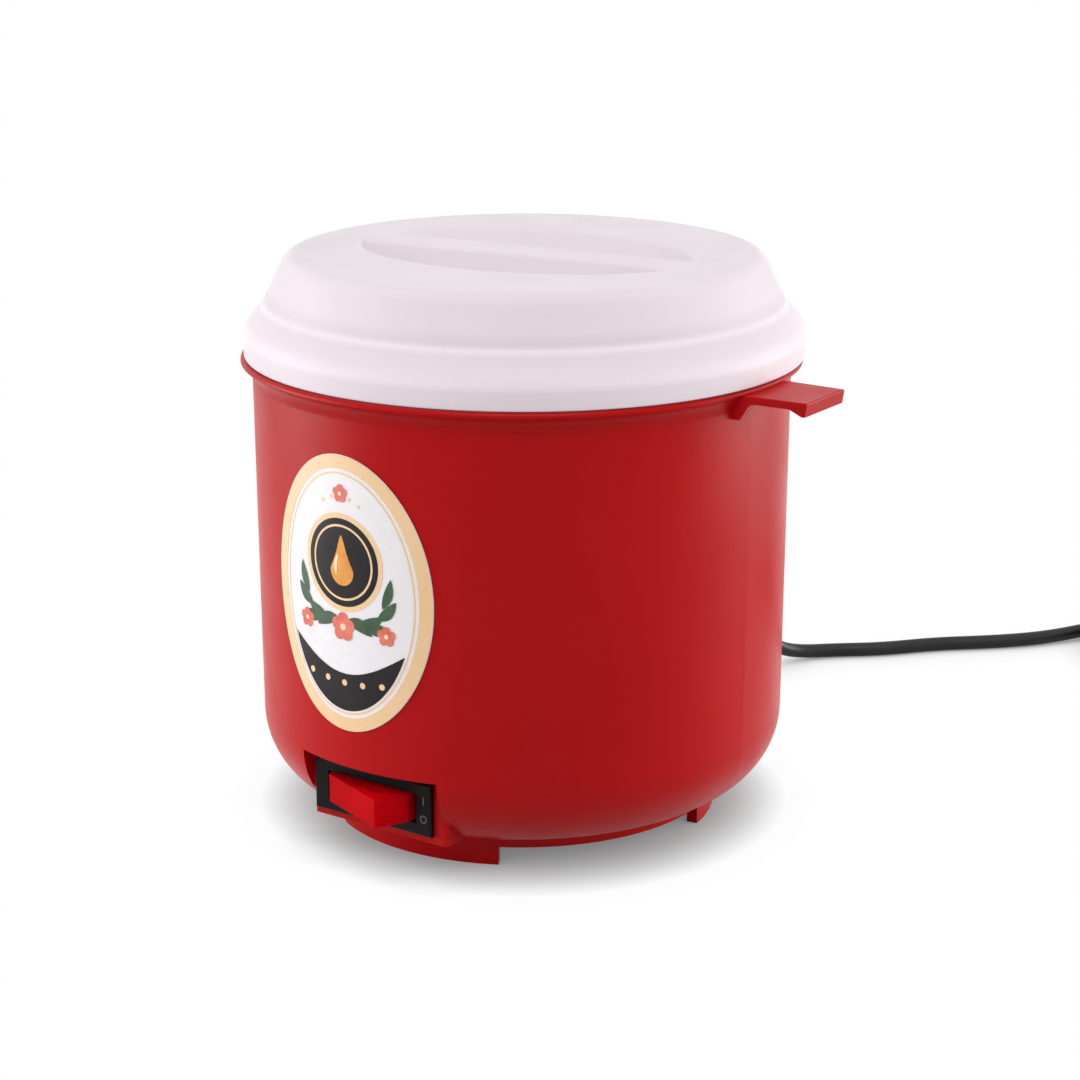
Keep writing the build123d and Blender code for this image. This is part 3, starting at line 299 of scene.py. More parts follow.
@dataclass(frozen=True)
class Metal:
    """Bare or plated metal with the marks of its making."""

    name: str
    colour: Colour
    drift: Colour
    gloss: tuple[float, float]
    grain: Grain = Grain.EVEN
    grain_scale: float = 900.0
    grain_depth: float = 0.00003

    def material(self) -> bpy.types.Material:
        """Makes the material.

        Returns:
            The finished material.
        """
        recipe = Recipe(self.name)
        recipe.put("Metallic", 1.0)
        patches = recipe.noise(METAL_DRIFT_SCALE, FINE_DETAIL)
        recipe.feed("Base Color", recipe.blend(patches, self.colour, self.drift))
        if self.grain is Grain.TURNED:
            marks = recipe.rings(self.grain_scale, LATHE_WOBBLE)
        elif self.grain is Grain.BRUSHED:
            marks = recipe.noise(self.grain_scale, GRAIN_DETAIL, recipe.stretched(BRUSHING))
        else:
            marks = recipe.noise(self.grain_scale, FINE_DETAIL)
        recipe.feed("Roughness", recipe.span(marks, *self.gloss))
        recipe.roughen(marks, self.grain_depth, METAL_RELIEF)
        return recipe.material


@dataclass(frozen=True)
class ClearPlastic:
    """Tinted plastic or glass that light passes through."""

    name: str
    colour: Colour
    drift: Colour
    gloss: tuple[float, float]
    passes: float
    bending: float = 1.5
    specular: float = 0.5

    def material(self) -> bpy.types.Material:
        """Makes the material.

        Returns:
            The finished material.
        """
        recipe = Recipe(self.name)
        recipe.feed("Base Color", recipe.blend(recipe.noise(CLEAR_DRIFT_SCALE), self.colour, self.drift))
        recipe.feed("Roughness", recipe.span(recipe.noise(CLEAR_GLOSS_SCALE, GRAIN_DETAIL), *self.gloss))
        recipe.put("Transmission Weight", self.passes)
        recipe.put("IOR", self.bending)
        recipe.put("Specular IOR Level", self.specular)
        return recipe.material


Finish = Moulding | Metal | ClearPlastic

RED_BODY = Moulding(
    "red_moulding",
    screen(185, 13, 16),
    screen(179, 10, 14),
    (0.28, 0.38),
    drift_scale=14.0,
    grain_scale=1400.0,
    grain_depth=0.00002,
    grain_strength=0.2,
    specular=0.11,
)
# Painted light by height on the milky lid: a glow that stands in for light passing through it, with painted
# shade just above the ledge and painted highlights on the ledge and on the shoulder of the band below it.
LID_PAINTED_GLOW = (
    (0.1270, 0.27),
    (0.1315, 0.29),
    (0.1332, 0.40),
    (0.1345, 0.35),
    (0.1362, 0.27),
    (0.1394, 0.23),
    (0.1402, 0.31),
    (0.1409, 0.40),
    (0.1416, 0.25),
    (0.1424, 0.18),
    (0.1434, 0.21),
    (0.1450, 0.27),
    (0.1539, 0.27),
)
# The lid glows in its own colour by height: painted light and shade on top of its lit colour.
WHITE_LID = Moulding(
    "white_lid",
    screen(212, 203, 208),
    screen(209, 199, 205),
    (0.34, 0.46),
    drift_scale=18.0,
    grain_scale=900.0,
    grain_depth=0.00003,
    grain_strength=0.2,
    specular=0.16,
    subsurface=0.35,
    subsurface_depth=0.004,
    painted_glow=LID_PAINTED_GLOW,
)
WHITE_NYLON = Moulding(
    "white_nylon", screen(214, 209, 208), screen(207, 201, 200), (0.4, 0.5), drift_scale=60.0
)
BLACK_PLASTIC = Moulding(
    "black_switch_plastic",
    screen(13, 12, 13),
    screen(18, 16, 17),
    (0.34, 0.46),
    grain_scale=3200.0,
    specular=0.1,
)
CORD_RUBBER = Moulding(
    "black_cord_sheath",
    screen(20, 20, 21),
    screen(30, 29, 30),
    (0.36, 0.5),
    drift_scale=90.0,
    grain_scale=1500.0,
    specular=0.3,
)
ROCKER_RED = ClearPlastic(
    "clear_red_rocker",
    screen(232, 8, 24),
    screen(222, 6, 20),
    (0.1, 0.18),
    passes=0.5,
    bending=1.1,
    specular=0.03,
)
LAMP_GLASS = ClearPlastic(
    "lamp_glass", screen(250, 215, 190), screen(245, 205, 180), (0.02, 0.06), passes=0.9
)
PRINT_GLOSS = (0.26, 0.36)
PRINT_GRAIN = 2600.0
LABEL_FILM = Moulding(
    "label_film",
    screen(246, 243, 245),
    screen(245, 241, 244),
    (0.24, 0.32),
    grain_scale=PRINT_GRAIN,
    coat=0.2,
)
GOLD_PRINT = Moulding(
    "gold_print",
    screen(249, 211, 164),
    screen(246, 206, 158),
    (0.26, 0.38),
    drift_scale=45.0,
    grain_scale=PRINT_GRAIN,
)
BLACK_PRINT = Moulding(
    "black_print", screen(30, 26, 28), screen(36, 32, 33), PRINT_GLOSS, grain_scale=PRINT_GRAIN, specular=0.2
)
AMBER_PRINT = Moulding(
    "amber_print", screen(238, 166, 62), screen(222, 132, 40), PRINT_GLOSS, drift_scale=160.0
)
CREAM_PRINT = Moulding(
    "cream_print", screen(252, 232, 190), screen(246, 222, 172), PRINT_GLOSS, drift_scale=160.0
)
GREEN_PRINT = Moulding("green_print", screen(58, 92, 58), screen(42, 72, 48), PRINT_GLOSS, drift_scale=260.0)
CORAL_PRINT = Moulding(
    "coral_print", screen(236, 128, 108), screen(226, 98, 84), PRINT_GLOSS, drift_scale=220.0
)
MARK_GREY = Moulding(
    "switch_marks", screen(84, 82, 84), screen(76, 74, 77), (0.4, 0.5), grain_scale=PRINT_GRAIN
)
SPUN_ALUMINIUM = Metal(
    "spun_aluminium",
    screen(206, 207, 209),
    screen(196, 197, 200),
    (0.32, 0.42),
    Grain.TURNED,
    grain_scale=700.0,
    grain_depth=0.000006,
)
ZINC_STEEL = Metal("zinc_steel", screen(176, 178, 180), screen(158, 160, 165), (0.28, 0.45))
RESISTANCE_ALLOY = Metal(
    "resistance_alloy", screen(134, 128, 120), screen(116, 108, 100), (0.4, 0.55), Grain.BRUSHED
)
BRASS = Metal("brass", screen(205, 168, 96), screen(190, 150, 82), (0.25, 0.4), Grain.BRUSHED)
NICKEL = Metal(
    "plug_nickel", screen(206, 203, 196), screen(196, 192, 186), (0.14, 0.24), Grain.BRUSHED, 1500.0
)
MICA = Moulding(
    "pressed_mica",
    screen(178, 162, 128),
    screen(150, 132, 98),
    (0.4, 0.6),
    drift_scale=140.0,
    grain_scale=700.0,
)
CERAMIC = Moulding("ceramic", screen(226, 220, 206), screen(214, 207, 190), (0.5, 0.65), drift_scale=80.0)
BROWN_WIRE = Moulding("brown_wire", screen(92, 52, 30), screen(82, 44, 26), (0.4, 0.5), drift_scale=120.0)
BLUE_WIRE = Moulding("blue_wire", screen(40, 82, 160), screen(34, 72, 148), (0.4, 0.5), drift_scale=120.0)
SLEEVE_WIRE = Moulding(
    "glass_fibre_sleeve", screen(228, 224, 214), screen(214, 209, 196), (0.6, 0.75), grain_scale=2400.0
)

NODE_FINISHES = {
    RED_BODY: ("outer_body", "base_cover"),
    WHITE_LID: ("lid",),
    WHITE_NYLON: ("switch_plunger",),
    BLACK_PLASTIC: ("switch_housing", "cord_tie", "plug_body"),
    ROCKER_RED: ("switch_rocker",),
    LAMP_GLASS: ("neon_lamp",),
    LABEL_FILM: ("front_label",),
    SPUN_ALUMINIUM: ("inner_pot", "thermostat_cap"),
    ZINC_STEEL: (
        "centre_stud",
        "clamp_plate",
        "clamp_washer",
        "clamp_nut",
        "base_washer",
        "base_nut",
        "thermostat_screws",
        "thermal_fuse",
        "plunger_spring",
        "cord_stop",
    ),
    RESISTANCE_ALLOY: ("heating_ribbon",),
    BRASS: ("element_terminals", "thermostat_terminals", "contact_lever", "switch_terminals"),
    NICKEL: ("plug_pins",),
    MICA: ("mica_upper", "mica_lower"),
    CERAMIC: ("thermostat_body",),
    BROWN_WIRE: ("live_wire", "switched_wire"),
    BLUE_WIRE: ("neutral_wire", "lamp_wire"),
    SLEEVE_WIRE: ("fuse_feed_wire", "fuse_return_wire"),
    CORD_RUBBER: ("cord_bush", "cord_entry", "cord_run", "cord_coil"),
}


class Workshop:
    """Keeps one material to a finish, and turns finished meshes into pieces."""

    def __init__(self) -> None:
        """Starts with no material made."""
        self.made: dict[Finish, bpy.types.Material] = {}

    def material(self, finish: Finish) -> bpy.types.Material:
        """Gives a finish's material, made once.

        Args:
            finish: The finish.

        Returns:
            Its material.
        """
        if finish not in self.made:
            self.made[finish] = finish.material()
        return self.made[finish]

    def dress(self, thing: bpy.types.Object, finish: Finish) -> None:
        """Gives an object one finish all over."""
        thing.data.materials.clear()
        thing.data.materials.append(self.material(finish))

    def piece(
        self, name: str, shape: bmesh.types.BMesh, finish: Finish, body: str, slot: str
    ) -> bpy.types.Object:
        """Turns a finished mesh into a piece of the object.

        Args:
            name: Name of the piece.
            shape: Its mesh, in place and in metres.
            finish: Its finish.
            body: The body that it moves with.
            slot: Not used.

        Returns:
            The new object.
        """
        mesh = bpy.data.meshes.new(name)
        shape.to_mesh(mesh)
        shape.free()
        mesh.shade_smooth()
        mesh.set_sharp_from_angle(angle=SHARP_ANGLE)
        thing = bpy.data.objects.new(name, mesh)
        bpy.context.scene.collection.objects.link(thing)
        self.dress(thing, finish)
        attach(thing, body)
        log.info("%s: %d faces", name, len(mesh.polygons))
        return thing


@dataclass(frozen=True)
class SoftLamp:
    """One soft lamp that faces the warmer."""

    name: str
    place: tuple[float, float, float]
    size: tuple[float, float]
    power: float
    aim: float = 0.08
    spread: float = math.pi

    def hang(self) -> None:
        """Hangs the lamp and points it at its height on the warmer's axis."""
        lamp = bpy.data.lights.new(self.name, "AREA")
        lamp.shape = "RECTANGLE"
        lamp.size, lamp.size_y = self.size
        lamp.energy = self.power
        lamp.spread = self.spread
        thing = bpy.data.objects.new(self.name, lamp)
        thing.visible_camera = False
        place = Vector(self.place)
        towards = Vector((0.0, 0.0, self.aim)) - place
        turned = towards.to_track_quat("-Z", "Y").to_matrix().to_4x4()
        thing.matrix_world = Matrix.Translation(place) @ turned
        bpy.context.scene.collection.objects.link(thing)


SIDE_SIZE = (0.7, 0.44)
STRIP_SIZE = (0.5, 0.11)
STRIP_AIM = 0.04
STRIP_SPREAD = math.radians(60.0)
LAMPS = (
    SoftLamp("left_lamp", (-0.78, -0.42, 0.24), SIDE_SIZE, 2.7),
    SoftLamp("right_lamp", (0.62, 0.62, 0.24), SIDE_SIZE, 2.8),
    SoftLamp("front_lamp", (0.46, -0.65, 1.05), (0.9, 0.6), 7.2),
    SoftLamp("top_lamp", (0.05, -0.05, 1.15), (1.3, 1.3), 3.0),
    SoftLamp("left_strip", (-0.37, -0.20, 0.065), STRIP_SIZE, 0.165, STRIP_AIM, STRIP_SPREAD),
    SoftLamp("right_strip", (0.29, 0.33, 0.065), STRIP_SIZE, 0.17, STRIP_AIM, STRIP_SPREAD),
)


@dataclass
class StudioStage:
    """White floor and surroundings with soft lamps."""

    floor_size: float = 8.0
    floor_grey: float = 0.58
    floor_roughness: float = 0.85
    floor_specular: float = 0.1
    shadow_radius: float = 0.056
    shadow_white: float = 0.8
    fade_radius: float = 0.066
    fade_white: float = 0.92
    clear_radius: float = 0.084
    # Painted shade on the floor: reach and least level of the ambient occlusion that darkens the camera's
    # white.
    painted_shade_reach: float = 0.016
    painted_shade_depth: float = 0.16
    world_light: float = 0.24

    def build(self) -> None:
        """Makes the floor, the world and the lamps."""
        self.floor()
        self.world()
        for lamp in LAMPS:
            lamp.hang()

    def floor(self) -> None:
        """Makes a plain floor: painted shade and some real shadow near the warmer, plain white further out.
        """
        shape = bmesh.new()
        bmesh.ops.create_grid(shape, x_segments=4, y_segments=4, size=self.floor_size / 2)
        mesh = bpy.data.meshes.new("floor")
        shape.to_mesh(mesh)
        shape.free()
        floor = bpy.data.objects.new("floor", mesh)
        bpy.context.scene.collection.objects.link(floor)
        recipe = Recipe("floor_white")
        recipe.put("Base Color", grey(self.floor_grey))
        recipe.put("Roughness", self.floor_roughness)
        recipe.put("Specular IOR Level", self.floor_specular)
        self.show_white(recipe)
        mesh.materials.append(recipe.material)

    def show_white(self, recipe: Recipe) -> None:
        """Shows the floor to the camera as white, with painted shade by ambient occlusion near what stands
        on it.

        Args:
            recipe: The floor's material.
        """
        nodes = recipe.nodes
        links = recipe.links
        away = nodes.new("ShaderNodeVectorMath")
        away.operation = "LENGTH"
        links.new(recipe.place, away.inputs[0])
        ramp = nodes.new("ShaderNodeValToRGB")
        stops = ramp.color_ramp.elements
        stops[0].position = self.shadow_radius
        stops[0].color = grey(self.shadow_white)
        stops[1].position = self.clear_radius
        stops[1].color = grey(1.0)
        stops.new(self.fade_radius).color = grey(self.fade_white)
        links.new(away.outputs["Value"], ramp.inputs["Fac"])
        seen = self.seen_by_camera(nodes, links)
        share = nodes.new("ShaderNodeMath")
        share.operation = "MULTIPLY"
        links.new(ramp.outputs["Color"], share.inputs[0])
        links.new(seen, share.inputs[1])
        # Painted shade: the camera's white floor is darkened by ambient occlusion, standing in for the
        # shadow.
        white = nodes.new("ShaderNodeEmission")
        white.inputs["Strength"].default_value = 1.0
        shade = nodes.new("ShaderNodeAmbientOcclusion")
        shade.inputs["Distance"].default_value = self.painted_shade_reach
        level = nodes.new("ShaderNodeMapRange")
        level.inputs["To Min"].default_value = self.painted_shade_depth
        links.new(shade.outputs["AO"], level.inputs["Value"])
        links.new(level.outputs["Result"], white.inputs["Color"])
        mix = nodes.new("ShaderNodeMixShader")
        links.new(share.outputs["Value"], mix.inputs["Fac"])
        links.new(recipe.shader.outputs["BSDF"], mix.inputs[1])
        links.new(white.outputs["Emission"], mix.inputs[2])
        links.new(mix.outputs["Shader"], nodes["Material Output"].inputs["Surface"])

    def seen_by_camera(self, nodes: bpy.types.Nodes, links: bpy.types.NodeLinks) -> bpy.types.NodeSocket:
        """Tells rays that show the background, straight or by gloss and glass, from the light's own.

        Args:
            nodes: Nodes of the tree that asks.
            links: Links of the same tree.

        Returns:
            1 for the camera's, mirrored and passed rays, and 0 for the rest.
        """
        path = nodes.new("ShaderNodeLightPath")
        total = path.outputs["Is Camera Ray"]
        for ray in ("Is Glossy Ray", "Is Transmission Ray"):
            either = nodes.new("ShaderNodeMath")
            either.operation = "MAXIMUM"
            links.new(total, either.inputs[0])
            links.new(path.outputs[ray], either.inputs[1])
            total = either.outputs["Value"]
        return total

    def world(self) -> None:
        """Surrounds the scene with even light that the camera sees as white."""
        world = bpy.data.worlds.new("studio")
        bpy.context.scene.world = world
        world.use_nodes = True
        nodes = world.node_tree.nodes
        links = world.node_tree.links
        background = nodes["Background"]
        background.inputs["Color"].default_value = grey(1.0)
        strength = nodes.new("ShaderNodeMapRange")
        strength.inputs["To Min"].default_value = self.world_light
        strength.inputs["To Max"].default_value = 1.0
        links.new(self.seen_by_camera(nodes, links), strength.inputs["Value"])
        links.new(strength.outputs["Result"], background.inputs["Strength"])


@dataclass
class PhotoCamera:
    """Camera at the photograph's angle."""

    azimuth: float = 35.5
    pitch: float = 16.02
    distance: float = 0.700
    aside: float = 0.00485
    height: float = 0.2745
    focal_pixels: float = 2654.8
    frame_pixels: float = 1080.0
    sensor: float = 36.0
    clip_start: float = 0.01
    clip_end: float = 50.0

    def build(self) -> None:
        """Makes the camera and gives it to the scene."""
        data = bpy.data.cameras.new("photo_camera")
        data.sensor_width = self.sensor
        data.lens = self.focal_pixels / self.frame_pixels * self.sensor
        data.clip_start = self.clip_start
        data.clip_end = self.clip_end
        camera = bpy.data.objects.new("photo_camera", data)
        turn = math.radians(self.azimuth)
        right = Vector((math.cos(turn), math.sin(turn), 0.0))
        away = Vector((-math.sin(turn), math.cos(turn), 0.0))
        camera.location = right * self.aside - away * self.distance + Vector((0.0, 0.0, self.height))
        camera.rotation_euler = (math.radians(90.0 - self.pitch), 0.0, turn)
        bpy.context.scene.collection.objects.link(camera)
        bpy.context.scene.camera = camera


@dataclass
class MainsCord:
    """Black mains cord from the bush along the floor to its put-away coil and plug."""

    workshop: Workshop
    diameter: float = 4.4 * MM
    length: float = 1.152
    coil_outer_radius: float = 32.5 * MM
    coil_step: float = 2.5 * MM
    turns_in: int = 6
    turns_out: int = 5
    coil_layer: float = 5.0 * MM
    lead_length: float = 4.45 * MM
    tail_length: float = 22.0 * MM
    tail_shares: tuple[float, ...] = (0.3, 0.65, 1.0)
    points_each_half_turn: int = 9
    bevel_steps: int = 6
    curve_steps: int = 8
    curve_order: int = 3
    route: tuple[tuple[float, float, float], ...] = (
        (0.0, 0.091961, 0.0330),
        (0.0, 0.1015, 0.0330),
        (0.0, 0.1120, 0.0290),
        (0.0002, 0.1210, 0.0210),
        (0.0006, 0.1290, 0.0122),
        (0.0020, 0.1374, 0.0056),
        (0.0054, 0.1462, 0.0027),
        (0.0128, 0.1552, 0.00225),
        (0.0246, 0.1648, 0.00225),
        (0.0365, 0.1800, 0.00225),
        (0.0507, 0.1925, 0.00225),
        (0.0630, 0.2060, 0.0024),
        (0.0722, 0.2220, 0.00305),
        (0.0796, 0.2360, 0.00305),
    )

    def build(self) -> None:
        """Makes the cord as one smooth curve in place of its CAD solids."""
        curve = bpy.data.curves.new("mains_cord", "CURVE")
        curve.dimensions = "3D"
        curve.bevel_depth = self.diameter / 2
        curve.bevel_resolution = self.bevel_steps
        curve.resolution_u = self.curve_steps
        curve.use_fill_caps = True
        points = [Vector(point) for point in self.route] + self.coil_points()
        spline = curve.splines.new("NURBS")
        spline.points.add(len(points) - 1)
        for control, point in zip(spline.points, points):
            control.co = (*point, 1.0)
        spline.order_u = self.curve_order
        spline.use_endpoint_u = True
        cord = bpy.data.objects.new("mains_cord", curve)
        bpy.context.scene.collection.objects.link(cord)
        self.workshop.dress(cord, CORD_RUBBER)
        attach(cord, "warmer")
        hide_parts("cord_run", "cord_coil")
        log.info("mains_cord: %d points", len(points))

    def coil_points(self) -> list[Vector]:
        """Lays out the put-away turns: in along the floor, up a layer and out again.

        Returns:
            The control points from the end of the free route to the plug.
        """
        travel = Vector(self.route[-1]) - Vector(self.route[-2])
        travel = Vector((travel.x, travel.y, 0.0)).normalized()
        outwards = Vector((-travel.y, travel.x, 0.0))
        place = Vector(self.route[-1]) + travel * self.lead_length
        radii = [self.coil_outer_radius - turn * self.coil_step for turn in range(self.turns_in + 1)]
        radii += [radii[-1] + (turn + 1) * self.coil_step for turn in range(self.turns_out)]
        spread = math.pi / self.points_each_half_turn
        swell = 1.0 / math.cos(spread / 2)
        points = []
        for half_turn, bend in enumerate(radii):
            side = 1.0 if half_turn % 2 == 0 else -1.0
            rise = self.coil_layer if half_turn == self.turns_in else 0.0
            centre = place - outwards * (side * bend)
            for step in range(self.points_each_half_turn):
                share = (step + 0.5) / self.points_each_half_turn
                angle = math.pi * share
                arm = (outwards * math.cos(angle) + travel * math.sin(angle)) * (side * bend * swell)
                points.append(centre + arm + Vector((0.0, 0.0, rise * share)))
            place = centre - outwards * (side * bend) + Vector((0.0, 0.0, rise))
        points += [place + travel * (self.tail_length * share) for share in self.tail_shares]
        return points


def oval(across: float, up: float, half_width: float, half_height: float, count: int = 72) -> Outline:
    """Lays out an ellipse.

    Args:
        across: Place of its middle across the film.
        up: Place of its middle up the film.
        half_width: Half its width.
        half_height: Half its height.
        count: Number of points.

    Returns:
        Its points, anticlockwise.
    """
    steps = [2.0 * math.pi * step / count for step in range(count)]
    return [(across + half_width * math.cos(step), up + half_height * math.sin(step)) for step in steps]


LEAF_FULLNESS = 0.8
LEAF_ROOT_SHARE = 1.15
LEAF_TAPER = 0.3
DROP_NARROWING = 0.55
DROP_WAIST_POWER = 1.5
DROP_POINT_POWER = 2.2


def leaf(root: Point, tip: Point, width: float, bow: float, count: int = 10) -> Outline:
    """Lays out a pointed leaf.

    Args:
        root: Where it grows from.
        tip: Its far point.
        width: Its greatest width.
        bow: How far its middle stands off the straight line.
        count: Points along each side.

    Returns:
        Its points, anticlockwise.
    """
    along = Vector(tip) - Vector(root)
    side = Vector((-along.y, along.x)).normalized()
    lower, upper = [], []
    for step in range(count + 1):
        share = step / count
        swing = math.sin(math.pi * share)
        middle = Vector(root) + along * share + side * (bow * swing)
        half = side * (width / 2 * swing**LEAF_FULLNESS * (LEAF_ROOT_SHARE - LEAF_TAPER * share))
        lower.append(tuple(middle - half))
        upper.append(tuple(middle + half))
    return lower + upper[-2:0:-1]


def drop(across: float, up: float, radius: float, height: float, count: int = 40) -> Outline:
    """Lays out a drop with its point upwards.

    Args:
        across: Place of its round end's middle across the film.
        up: Place of that middle up the film.
        radius: Radius of the round end.
        height: From that middle to the point.
        count: Number of points.

    Returns:
        Its points, anticlockwise.
    """
    points = []
    for step in range(count):
        turn = 2.0 * math.pi * step / count + math.pi / 2
        lift = max(math.sin(turn), 0.0)
        narrow = 1.0 - DROP_NARROWING * lift**DROP_WAIST_POWER
        reach = radius + (height - radius) * lift**DROP_POINT_POWER
        points.append((across + radius * math.cos(turn) * narrow, up + reach * math.sin(turn)))
    return points


def film(
    fills: list[Outline],
    rings: list[Ring],
    place: Callable[[float, float], Vector],
    thickness: float,
) -> bmesh.types.BMesh:
    """Cuts flat shapes from thin film and lays them on a surface.

    Args:
        fills: Closed outlines that are filled, in millimetres.
        rings: Pairs of outer and inner outlines with as many points each.
        place: Gives the place in metres of a point across and up the film.
        thickness: Thickness of the film in metres.

    Returns:
        The finished mesh.
    """
    shape = bmesh.new()
    for outline in fills:
        shape.faces.new([shape.verts.new((across, 0.0, up)) for across, up in outline])
    for pair in rings:
        edges = []
        for outline in pair:
            verts = [shape.verts.new((across, 0.0, up)) for across, up in outline]
            edges += [shape.edges.new((verts[step - 1], verts[step])) for step in range(len(verts))]
        bmesh.ops.bridge_loops(shape, edges=edges)
    bmesh.ops.triangulate(shape, faces=shape.faces[:])
    widest = max(abs(vert.co.x) for vert in shape.verts)
    slices = int(widest / SLICE_WIDTH)
    for step in range(-slices, slices + 1):
        geometry = shape.verts[:] + shape.edges[:] + shape.faces[:]
        cut = (step * SLICE_WIDTH, 0, 0)
        bmesh.ops.bisect_plane(shape, geom=geometry, plane_co=cut, plane_no=(1, 0, 0))
    shape.normal_update()
    for face in shape.faces:
        if face.normal.y > 0:
            face.normal_flip()
    for vert in shape.verts:
        vert.co = place(vert.co.x, vert.co.z)
    bmesh.ops.solidify(shape, geom=shape.faces[:], thickness=thickness)
    return shape


@dataclass
class FrontLabel:
    """Printed oval on the front: gold border, plain field and an emblem of a drop, leaves and blossoms."""

    workshop: Workshop
    turn: float = -3.3
    half_width: float = 26.25
    half_height: float = 36.65
    middle: float = 75.28
    wall_floor: float = 10.0
    wall_top: float = 124.01
    wall_low_radius: float = 71.4
    wall_top_radius: float = 72.2
    film_top: float = 0.37
    layer: float = 0.035
    thickness: float = 0.00002
    border: tuple[float, float] = (0.1, 3.6)
    fine_line: tuple[float, float] = (4.5, 4.95)
    field_inset: float = 5.5
    emblem_up: float = 8.5
    emblem_radius: float = 11.6
    emblem_rim: tuple[float, float] = (1.12, 0.97)
    emblem_line: tuple[float, float] = (0.86, 0.81)
    drop_sink: float = 2.2
    drop_radius: float = 3.9
    drop_height: float = 9.4
    top_dot_radius: float = 0.55
    crescent_span: tuple[float, float] = (206.0, 334.0)
    crescent_steps: int = 40
    crescent_sag: float = 7.5
    sag_steps: int = 24
    petals_each: int = 5
    petal_reach: float = 0.62
    petal_share: float = 0.5
    heart_share: float = 0.26
    chain_dot_radius: float = 0.85
    chain_step: float = 6.0
    chain_low: float = -23.6
    chain_bow: float = 0.11

    def build(self) -> None:
        """Makes one piece of film for each ink, the later ones on top."""
        self.ink("label_gold", GOLD_PRINT, 1, self.gold_fills(), self.gold_rings())
        self.ink("label_black", BLACK_PRINT, 2, [self.crescent(), self.emblem(1.0)], [])
        self.ink("label_green", GREEN_PRINT, 3, self.leaves(), [])
        self.ink("label_coral", CORAL_PRINT, 4, self.petals(), [])
        wax = drop(0.0, self.emblem_up - self.drop_sink, self.drop_radius, self.drop_height)
        self.ink("label_amber", AMBER_PRINT, 3, [wax], [])
        self.ink("label_gold_line", GOLD_PRINT, 3, self.gold_dots(), [self.emblem_ring(self.emblem_line)])
        self.ink("label_cream", CREAM_PRINT, 5, self.lights(), [])

    def ink(
        self, name: str, finish: Moulding, level: int, fills: list[Outline], rings: list[Ring]
    ) -> None:
        """Makes one ink's film on the wall.

        Args:
            name: Name of the piece.
            finish: Its finish.
            level: Its place in the stack.
            fills: Filled outlines.
            rings: Pairs of outer and inner outlines.
        """
        lift = self.film_top + level * self.layer
        turned = Matrix.Rotation(math.radians(self.turn), 3, "Z")

        def on_wall(across: float, up: float) -> Vector:
            """Wraps a point of the print round the wall."""
            height = self.middle + up
            share = (height - self.wall_floor) / (self.wall_top - self.wall_floor)
            radius = self.wall_low_radius + share * (self.wall_top_radius - self.wall_low_radius) + lift
            return turned @ Vector((across, -math.sqrt(radius**2 - across**2), height)) * MM

        shape = film(fills, rings, on_wall, self.thickness)
        self.workshop.piece(name, shape, finish, "warmer", "label_print")

    def emblem(self, share: float) -> Outline:
        """Lays out the emblem's disc, or a share of it."""
        return oval(0.0, self.emblem_up, self.emblem_radius * share, self.emblem_radius * share, 64)

    def emblem_ring(self, shares: tuple[float, float]) -> Ring:
        """Lays out a ring about the emblem's middle."""
        return (self.emblem(shares[0]), self.emblem(shares[1]))

    def edge_ring(self, insets: tuple[float, float]) -> Ring:
        """Lays out a ring along the label's edge."""
        outer, inner = (
            oval(0.0, 0.0, self.half_width - inset, self.half_height - inset, 96) for inset in insets
        )
        return (outer, inner)

    def gold_rings(self) -> list[Ring]:
        """Lays out the border, the fine line inside it and the emblem's rim."""
        rings = [self.edge_ring(insets) for insets in (self.border, self.fine_line)]
        return rings + [self.emblem_ring(self.emblem_rim)]

    def gold_fills(self) -> list[Outline]:
        """Lays out a row of small dots above the emblem."""
        places = [(-6.0, 24.0), (-3.1, 25.4), (3.1, 25.4), (6.0, 24.0)]
        return [oval(across, up, self.top_dot_radius, self.top_dot_radius, 16) for across, up in places]

    def crescent(self) -> Outline:
        """Lays out the dark crescent along the lower edge of the field."""
        wide = self.half_width - self.field_inset
        high = self.half_height - self.field_inset
        start, stop = (math.radians(angle) for angle in self.crescent_span)
        count = self.crescent_steps
        steps = [start + (stop - start) * step / count for step in range(count + 1)]
        lower = [(wide * math.cos(step), high * math.sin(step)) for step in steps]
        right = lower[-1]
        left = lower[0]
        upper = []
        for step in range(1, self.sag_steps):
            share = step / self.sag_steps
            across = right[0] + (left[0] - right[0]) * share
            upper.append((across, right[1] - self.crescent_sag * math.sin(math.pi * share)))
        return lower + upper

    def leaves(self) -> list[Outline]:
        """Lays out two mirrored sprigs under the emblem."""
        sprig = [
            ((1.5, -6.4), (9.4, -9.6), 3.4, 0.8),
            ((5.0, -7.4), (12.8, -4.0), 3.2, -0.6),
            ((7.6, -8.0), (15.8, -8.6), 3.2, 0.6),
            ((11.0, -5.0), (16.6, 0.6), 2.9, -0.6),
            ((12.6, -1.8), (15.2, 6.4), 2.6, -0.5),
        ]
        sides = []
        for root, tip, width, bow in sprig:
            sides.append(leaf(root, tip, width, bow))
            mirrored = leaf((-root[0], root[1]), (-tip[0], tip[1]), width, -bow)
            sides.append(mirrored)
        return sides

    def blossoms(self) -> list[tuple[float, float, float]]:
        """Gives the middle and the size of each blossom."""
        return [(0.0, -8.6, 3.5), (-13.6, -8.9, 2.4), (13.6, -8.9, 2.4), (0.0, 26.6, 2.2)]

    def petals(self) -> list[Outline]:
        """Lays out five round petals to a blossom."""
        outlines = []
        for across, up, size in self.blossoms():
            reach = self.petal_reach * size
            radius = self.petal_share * size
            for petal in range(self.petals_each):
                turn = math.radians(90.0 + 360.0 / self.petals_each * petal)
                middle = (across + reach * math.cos(turn), up + reach * math.sin(turn))
                outlines.append(oval(*middle, radius, radius, 20))
        return outlines

